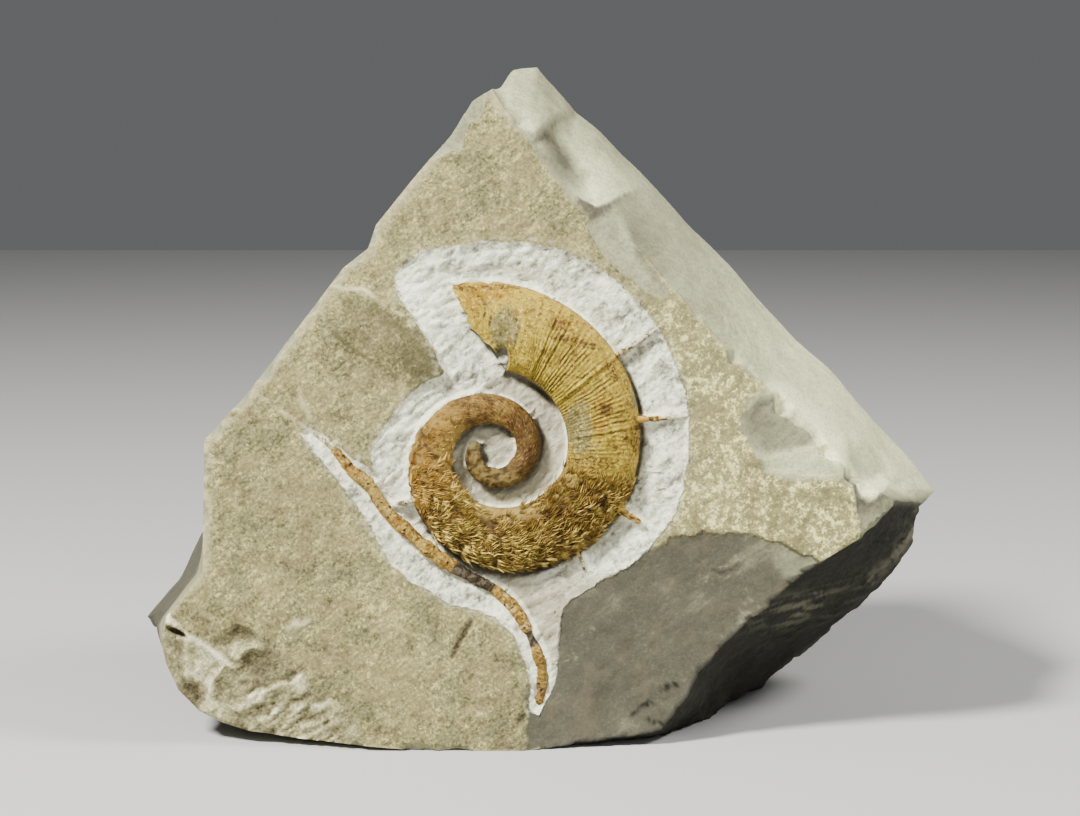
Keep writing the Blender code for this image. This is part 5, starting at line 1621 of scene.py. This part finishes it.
def gold_ribs(t, where, mottling):
    """The ribbed last turn: gold, with green and orange patches, dark pits and moss, and painted
    shade on its outer side and in the rib furrows.
    """
    patches, grain, drops = mottling
    turn, side, rib = (t.number(n) for n in ("turn", "side", "rib"))
    gold = t.blend(t.rise(patches, 0.36, 0.64), (0.20, 0.142, 0.012), (0.36, 0.262, 0.026))
    gold = t.painted(gold, [
        (t.rise(turn, 66.0, 84.0) * 0.45, (0.44, 0.33, 0.035)),
        # Painted shade: darker gold on the tube's outer side, which on the coil's right faces away
        # from the key lamp.
        (t.rise(side, 0.1, 0.7) * 0.5, (0.345, 0.225, 0.026)),
    ])
    green = t.blend(t.rise(drops, 0.35, 0.6), (0.092, 0.086, 0.036), (0.175, 0.168, 0.080))
    gold = t.painted(gold, [
        (t.rise(t.number("grey") + drops - 0.5, 0.15, 0.75) * 0.85, green),
        (t.rise(drops, 0.56, 0.70) * 0.6, (0.16, 0.072, 0.005)),
    ])
    rusty = t.rise(t.number("orange") + (drops - 0.5) * 1.6, 0.35, 0.8)
    gold = t.painted(gold, [
        (rusty * 0.8, (0.24, 0.130, 0.002)),
        # Painted shade in the furrows between the ribs.
        (t.rise(rib, 0.02, -0.26) * 0.65, (0.095, 0.052, 0.005)),
        (t.rise(rib, 0.05, 0.30) * 0.45, (0.54, 0.42, 0.075)),
        (t.rise(grain, 0.46, 0.33) * 0.85, (0.060, 0.028, 0.003)),
        (t.rise(grain, 0.55, 0.68) * 0.60, (0.68, 0.54, 0.11)),
    ])
    flakes = t.noise(where, 1.5, 5.0, 0.75)
    gold = t.blend(t.rise(flakes, 0.47, 0.36) * 0.75, gold, (0.10, 0.054, 0.005))
    moss = t.rise(t.number("moss"), 0.1, 0.6)
    gold = t.blend(moss * 0.45, gold, (0.20, 0.125, 0.011))
    mossy = moss * t.rise(t.noise(where, 0.75, 4.0, 0.7), 0.53, 0.45)
    return t.blend(mossy * 0.9, gold, (0.050, 0.020, 0.003))


def furred_wall(t, mottling):
    """The wall under the crystals, brown with dark hollows."""
    patches, _, drops = mottling
    turn, side = t.number("turn"), t.number("side")
    fur = t.blend(t.rise(patches, 0.38, 0.62), (0.085, 0.040, 0.006), (0.16, 0.092, 0.018))
    return t.painted(fur, [
        (t.rise(turn, -120.0, -165.0) * 0.6, (0.30, 0.18, 0.036)),
        (t.rise(drops, 0.56, 0.40) * 0.85, (0.022, 0.009, 0.001)),
        ((1.0 - t.rise(side, -0.85, -0.35)) * 0.7, (0.33, 0.235, 0.062)),
    ])


def worn_turns(t, wave, hairs, mottling):
    """The smooth first turns: brown, streaked with hairs, dull where they are oldest, and darker on
    their right side as painted shade.
    """
    patches, _, drops = mottling
    turn = t.number("turn")
    brown = t.blend(t.rise(patches, 0.38, 0.62), (0.098, 0.046, 0.009), (0.215, 0.130, 0.029))
    brown = t.painted(brown, [
        (t.rise(turn, -240.0, -200.0) * 0.8, (0.40, 0.26, 0.060)),
        # Painted shade: darker on the right side of the turn inside the last one, away from the key
        # lamp.
        (t.rise(turn, -285.0, -325.0) * 0.6, (0.055, 0.025, 0.005)),
        (t.rise(drops, 0.50, 0.38) * 0.6, (0.035, 0.014, 0.002)),
        (t.rise(hairs, 0.50, 0.36) * 0.7, (0.026, 0.011, 0.002)),
        (t.rise(hairs, 0.54, 0.68) * 0.75, (0.36, 0.225, 0.045)),
    ])
    oldest = t.blend(t.rise(drops, 0.38, 0.62), (0.045, 0.024, 0.005), (0.152, 0.104, 0.027))
    oldest = t.blend(t.rise(turn, -540.0, -555.0) * 0.5, oldest, (0.13, 0.115, 0.055))
    return t.blend(t.rise(turn + wave, -430.0, -370.0), oldest, brown)


def crystal_needles(t, drops):
    """The needles of the tufts: amber to pale, darkest at their roots."""
    turn = t.number("turn")
    crystal = t.blend(t.number("tint"), (0.18, 0.095, 0.016), (0.86, 0.67, 0.17))
    return t.painted(crystal, [
        (t.rise(drops, 0.56, 0.44) * 0.5, (0.13, 0.062, 0.009)),
        (t.rise(turn, -120.0, -165.0) * 0.7, (0.62, 0.38, 0.085)),
        (t.rise(turn, -80.0, -45.0) * 0.35, (0.16, 0.080, 0.010)),
        (t.rise(t.number("tip"), 0.75, 0.1) * 0.9, (0.018, 0.007, 0.002)),
    ])


def spine_rust(t, where, drops):
    """Rust-orange spines, paler towards some of their tips, with dark pits."""
    fading = t.rise(t.number("spine") - t.number("rusty") + (drops - 0.5) * 0.7, 0.85, 1.25)
    rust = t.blend(fading, (0.42, 0.255, 0.040), (0.50, 0.46, 0.29))
    pits = t.rise(t.noise(where, 1.1, 3.0), 0.53, 0.42)
    return t.blend(pits * 0.9, rust, (0.045, 0.018, 0.003))


def ochre_shell():
    """Calcite shell stained ochre: gold ribs, brown fur of crystals, worn brown first turns."""
    material, t = new_material("ochre_shell")
    where = t.place()
    turn, growth, girth = (t.number(n) for n in ("turn", "growth", "girth"))
    on_spine = t.rise(t.number("spine"), 0.4, 0.6)
    # Mottling, and streaks that run along the coil.
    patches = t.noise(where, 4.5, 4.0, 0.6)
    grain = t.noise(where, 0.8, 3.0, 0.65)
    drops = t.noise(where, 2.2, 3.0, 0.6)
    mottling = patches, grain, drops
    streaked = t.add("ShaderNodeCombineXYZ", (), {
        "X": growth * 0.8 + girth * 0.5, "Y": girth * 2.4 - growth * 1.1,
    })
    hairs = t.noise(streaked, 1.0, 4.0, 0.65)

    # The parts of the coil laid one after another, then spots, cracks, crystals and spines.
    wave = (t.noise(where, 3.0, 3.0) - 0.5) * 46.0
    colour = t.painted(worn_turns(t, wave, hairs, mottling), [
        (t.rise(turn + wave, -240.0, -190.0), furred_wall(t, mottling)),
        (t.rise(turn + wave * 0.5, -22.0, -6.0), gold_ribs(t, where, mottling)),
        (t.rise(t.number("dark") + (grain - 0.5) * 1.4, 0.35, 0.75) * 0.85,
         (0.045, 0.020, 0.006)),
        (t.number("cracked") * t.rise(grain, 0.62, 0.40) * 0.8, (0.060, 0.030, 0.008)),
        # The notch at the mouth is bare stone, and its dark grey is partly painted shade.
        (t.rise(t.number("notched") * (1.0 - on_spine), 0.2, 0.4), (0.13, 0.125, 0.085)),
    ])
    # Painted shade: darker where the tube's sides dip into the stone.
    lower = (1.0 - t.rise(t.number("crest"), 0.0, 0.35)) * (1.0 - on_spine)
    colour = t.painted(colour, [
        (t.rise(t.number("tint"), 0.01, 0.05), crystal_needles(t, drops)),
        (lower * 0.55, (0.07, 0.036, 0.010)),
        (on_spine, spine_rust(t, where, drops)),
    ])
    worn = t.rise(turn, -150.0, -215.0)
    height = grain * 0.30 + t.noise(where, 0.3, 2.0) * 0.06 + (hairs * 0.25 + drops * 0.8) * worn
    t.finish(colour, 0.62, height, 0.9, 0.18)
    return material


shell_material = ochre_shell()
shell_parts = [make_coil()] + [make_spine(i, *spine) for i, spine in enumerate(SPINES)]
shell = joined("shell", shell_parts)
tuft_object = make_tuft()
shell_mesh = plain_result(shell, shell_growth_tree(), {
    "Rib spacing": RIB_SPACING, "Rib height": RIB_HEIGHT, "Tuft": tuft_object,
    "Tufts per square metre": TUFTS_PER_SQUARE_METRE, "Tuft length": TUFT_LENGTH * MM,
    "Seed": 4, "Finish": shell_material,
})
bpy.data.objects.remove(tuft_object, do_unlink=True)
shell_mesh.shade_smooth()
shell_mesh.set_sharp_from_angle(angle=math.radians(50.0))
finished_piece(shell_mesh, "shell_finish", shell_material, "ammonite_shell")


# ======================================================================================
# Slender shell. A second, thin and gently curved shell of rust-orange calcite, cracked and
# flaked, that lies bedded in the stone below the coil. Two stretches of it are crushed.
# ======================================================================================

SLENDER_RINGS = 700
SLENDER_SIDES = 36
SLENDER_AXIS_DEPTH = 1.6
# Crushed stretches: where each starts and ends, from 0 to 1 along the shell, and how much
# thinner it is there.
SLENDER_GAPS = [(0.44, 0.585, 0.0), (0.745, 0.815, 0.25)]


def make_slender():
    """The shell as a rough rod, thinned where its wall is crushed or lost."""
    knots = [(i, *point) for i, point in enumerate(SLENDER)]
    places = np.linspace(0.0, len(SLENDER) - 1.0, SLENDER_RINGS)
    u, v, radius = smooth_curve(knots, places).T
    share = places / places[-1]
    radius *= 1.0 + 0.22 * cloud(np.column_stack([places * 1.6, places]), 1.0, 3, 4.0)
    for first, last, thinned in SLENDER_GAPS:
        here = ease((share - first) / 0.02) * ease((last - share) / 0.02)
        radius *= 1.0 - thinned * here
    radius *= 1.0 + 0.26 * ease((share - 0.56) / 0.04)
    reach = np.minimum(places, places[-1] - places)
    radius *= np.sqrt(np.clip(reach / 0.25, 0.03, 1.0))
    u += 0.25 * cloud(np.column_stack([places, places * 0.3]), 1.1, 2, 7.0)
    depth = SLENDER_AXIS_DEPTH + 0.5 * ease((share - 0.4) / 0.2) - 0.3 * ease((0.12 - share) / 0.1)
    line = np.column_stack([u, v, depth])
    mesh, reach = tapered_rod("slender_finish", line, radius, SLENDER_SIDES, 0.20)
    lost = np.zeros(len(reach))
    for first, last, _ in SLENDER_GAPS:
        lost = np.maximum(lost, ease((reach - first) / 0.03) * ease((last - reach) / 0.03))
    add_numbers(mesh, {"reach": reach, "lost": lost})
    return mesh


def rusty_shell():
    """Thin ochre shell, flaked to cream, with black pits, dark where it is crushed, with painted
    shadow under the coil's rim.
    """
    material, t = new_material("rusty_shell")
    where = t.place()
    reach = t.number("reach")
    patches = t.noise(where, 2.4, 4.0, 0.6)
    grain = t.noise(where, 0.7, 4.0, 0.65)
    colour = t.blend(t.rise(patches, 0.36, 0.62), (0.205, 0.108, 0.012), (0.37, 0.245, 0.045))
    colour = t.blend(t.rise(grain, 0.54, 0.70) * 0.6, colour, (0.60, 0.46, 0.14))
    flaked = t.rise(t.noise(where, 1.7, 3.0, 0.6) + t.rise(reach, 0.5, 0.9) * 0.05, 0.55, 0.64)
    colour = t.painted(colour, [
        (flaked * 0.35, (0.55, 0.46, 0.24)),
        (t.rise(grain, 0.52, 0.36) * 0.85, (0.085, 0.036, 0.004)),
    ])
    olive = t.rise(reach, 0.13, 0.17) * t.rise(reach, 0.28, 0.24)
    colour = t.painted(colour, [
        (olive * 0.45, (0.235, 0.175, 0.045)),
        (t.rise(reach, 0.80, 0.84) * 0.62, (0.120, 0.066, 0.012)),
    ])
    lumps = t.noise(where, 1.3, 2.0)
    colour = t.blend(t.rise(lumps, 0.62, 0.67), colour, (0.03, 0.014, 0.006))
    bared_in_shade = t.blend(t.rise(lumps, 0.46, 0.62), (0.018, 0.012, 0.008), (0.105, 0.084, 0.056))
    # Crushed stretches: bared stone painted dark, partly painted shadow under the coil's rim.
    crushed = t.rise(t.number("lost") + (patches - 0.5) * 0.8, 0.2, 0.6)
    colour = t.blend(crushed * 0.95, colour, bared_in_shade)
    worn = t.rise(reach, 0.075, 0.04)
    beads = t.blend(t.rise(grain, 0.42, 0.60), (0.24, 0.20, 0.11), (0.74, 0.69, 0.46))
    colour = t.blend(worn, colour, beads)
    t.finish(colour, 0.68, grain * 0.34 + t.noise(where, 0.3, 2.0) * 0.06, 1.0, 0.2)
    return material


slender_mesh = make_slender()
slender_mesh.shade_smooth()
finished_piece(slender_mesh, "slender_finish", rusty_shell(), "slender_shell")


# ======================================================================================
# Studio. A plain pale floor, soft round lamps over it and a faint even sky, and the camera
# square on to the fossil face.
# ======================================================================================

FOCAL_LENGTH = 81.4
FLOOR_REACH = 1.6


def make_floor():
    """A plain pale floor under the block."""
    mesh = bpy.data.meshes.new("floor")
    corners = [(x * FLOOR_REACH, y * FLOOR_REACH, 0.0)
               for x, y in ((-1, -1), (1, -1), (1, 1), (-1, 1))]
    mesh.from_pydata(corners, [], [(0, 1, 2, 3)])
    floor = bpy.data.objects.new("floor", mesh)
    bpy.context.scene.collection.objects.link(floor)
    material, t = new_material("pale_floor")
    shader = t.tree.nodes["Principled BSDF"]
    shader.inputs["Base Color"].default_value = (0.42, 0.42, 0.41, 1.0)
    shader.inputs["Roughness"].default_value = 0.9
    mesh.materials.append(material)


def add_lamp(name, place, aim, size, power, colour):
    """A round soft lamp at a place, turned to what it lights; metres and watts."""
    data = bpy.data.lights.new(name, "AREA")
    data.shape = "DISK"
    data.size = size
    data.energy = power
    data.color = colour
    lamp = bpy.data.objects.new(name, data)
    bpy.context.scene.collection.objects.link(lamp)
    lamp.location = place
    lamp.rotation_euler = (Vector(aim) - Vector(place)).to_track_quat("-Z", "Y").to_euler()


def add_camera():
    """The camera, square on to the fossil face."""
    data = bpy.data.cameras.new("camera")
    data.lens = FOCAL_LENGTH
    camera = bpy.data.objects.new("camera", data)
    bpy.context.scene.collection.objects.link(camera)
    spot, aim = face_points([(*VIEW_MIDDLE, -VIEW_DISTANCE), (*VIEW_MIDDLE, 0.0)])
    camera.location = spot
    camera.rotation_euler = Vector(aim - spot).to_track_quat("-Z", "Y").to_euler()
    bpy.context.scene.camera = camera


def add_sky():
    """A faint, even light from all round."""
    world = bpy.data.worlds.new("studio")
    world.use_nodes = True
    sky = world.node_tree.nodes["Background"]
    sky.inputs["Color"].default_value = (0.8, 0.82, 0.85, 1.0)
    sky.inputs["Strength"].default_value = 0.16
    bpy.context.scene.world = world


make_floor()
add_lamp("key", (-0.52, -0.46, 0.80), (0.0, 0.0, 0.08), 0.20, 32.0, (1.0, 0.985, 0.95))
add_lamp("fill", (0.3, -1.0, 0.5), (0.0, 0.0, 0.08), 0.8, 2.5, (0.97, 0.98, 1.0))
add_lamp("side", (0.70, -0.16, 0.80), (0.05, 0.0, 0.08), 0.30, 12.0, (1.0, 0.99, 0.96))
add_sky()
add_camera()
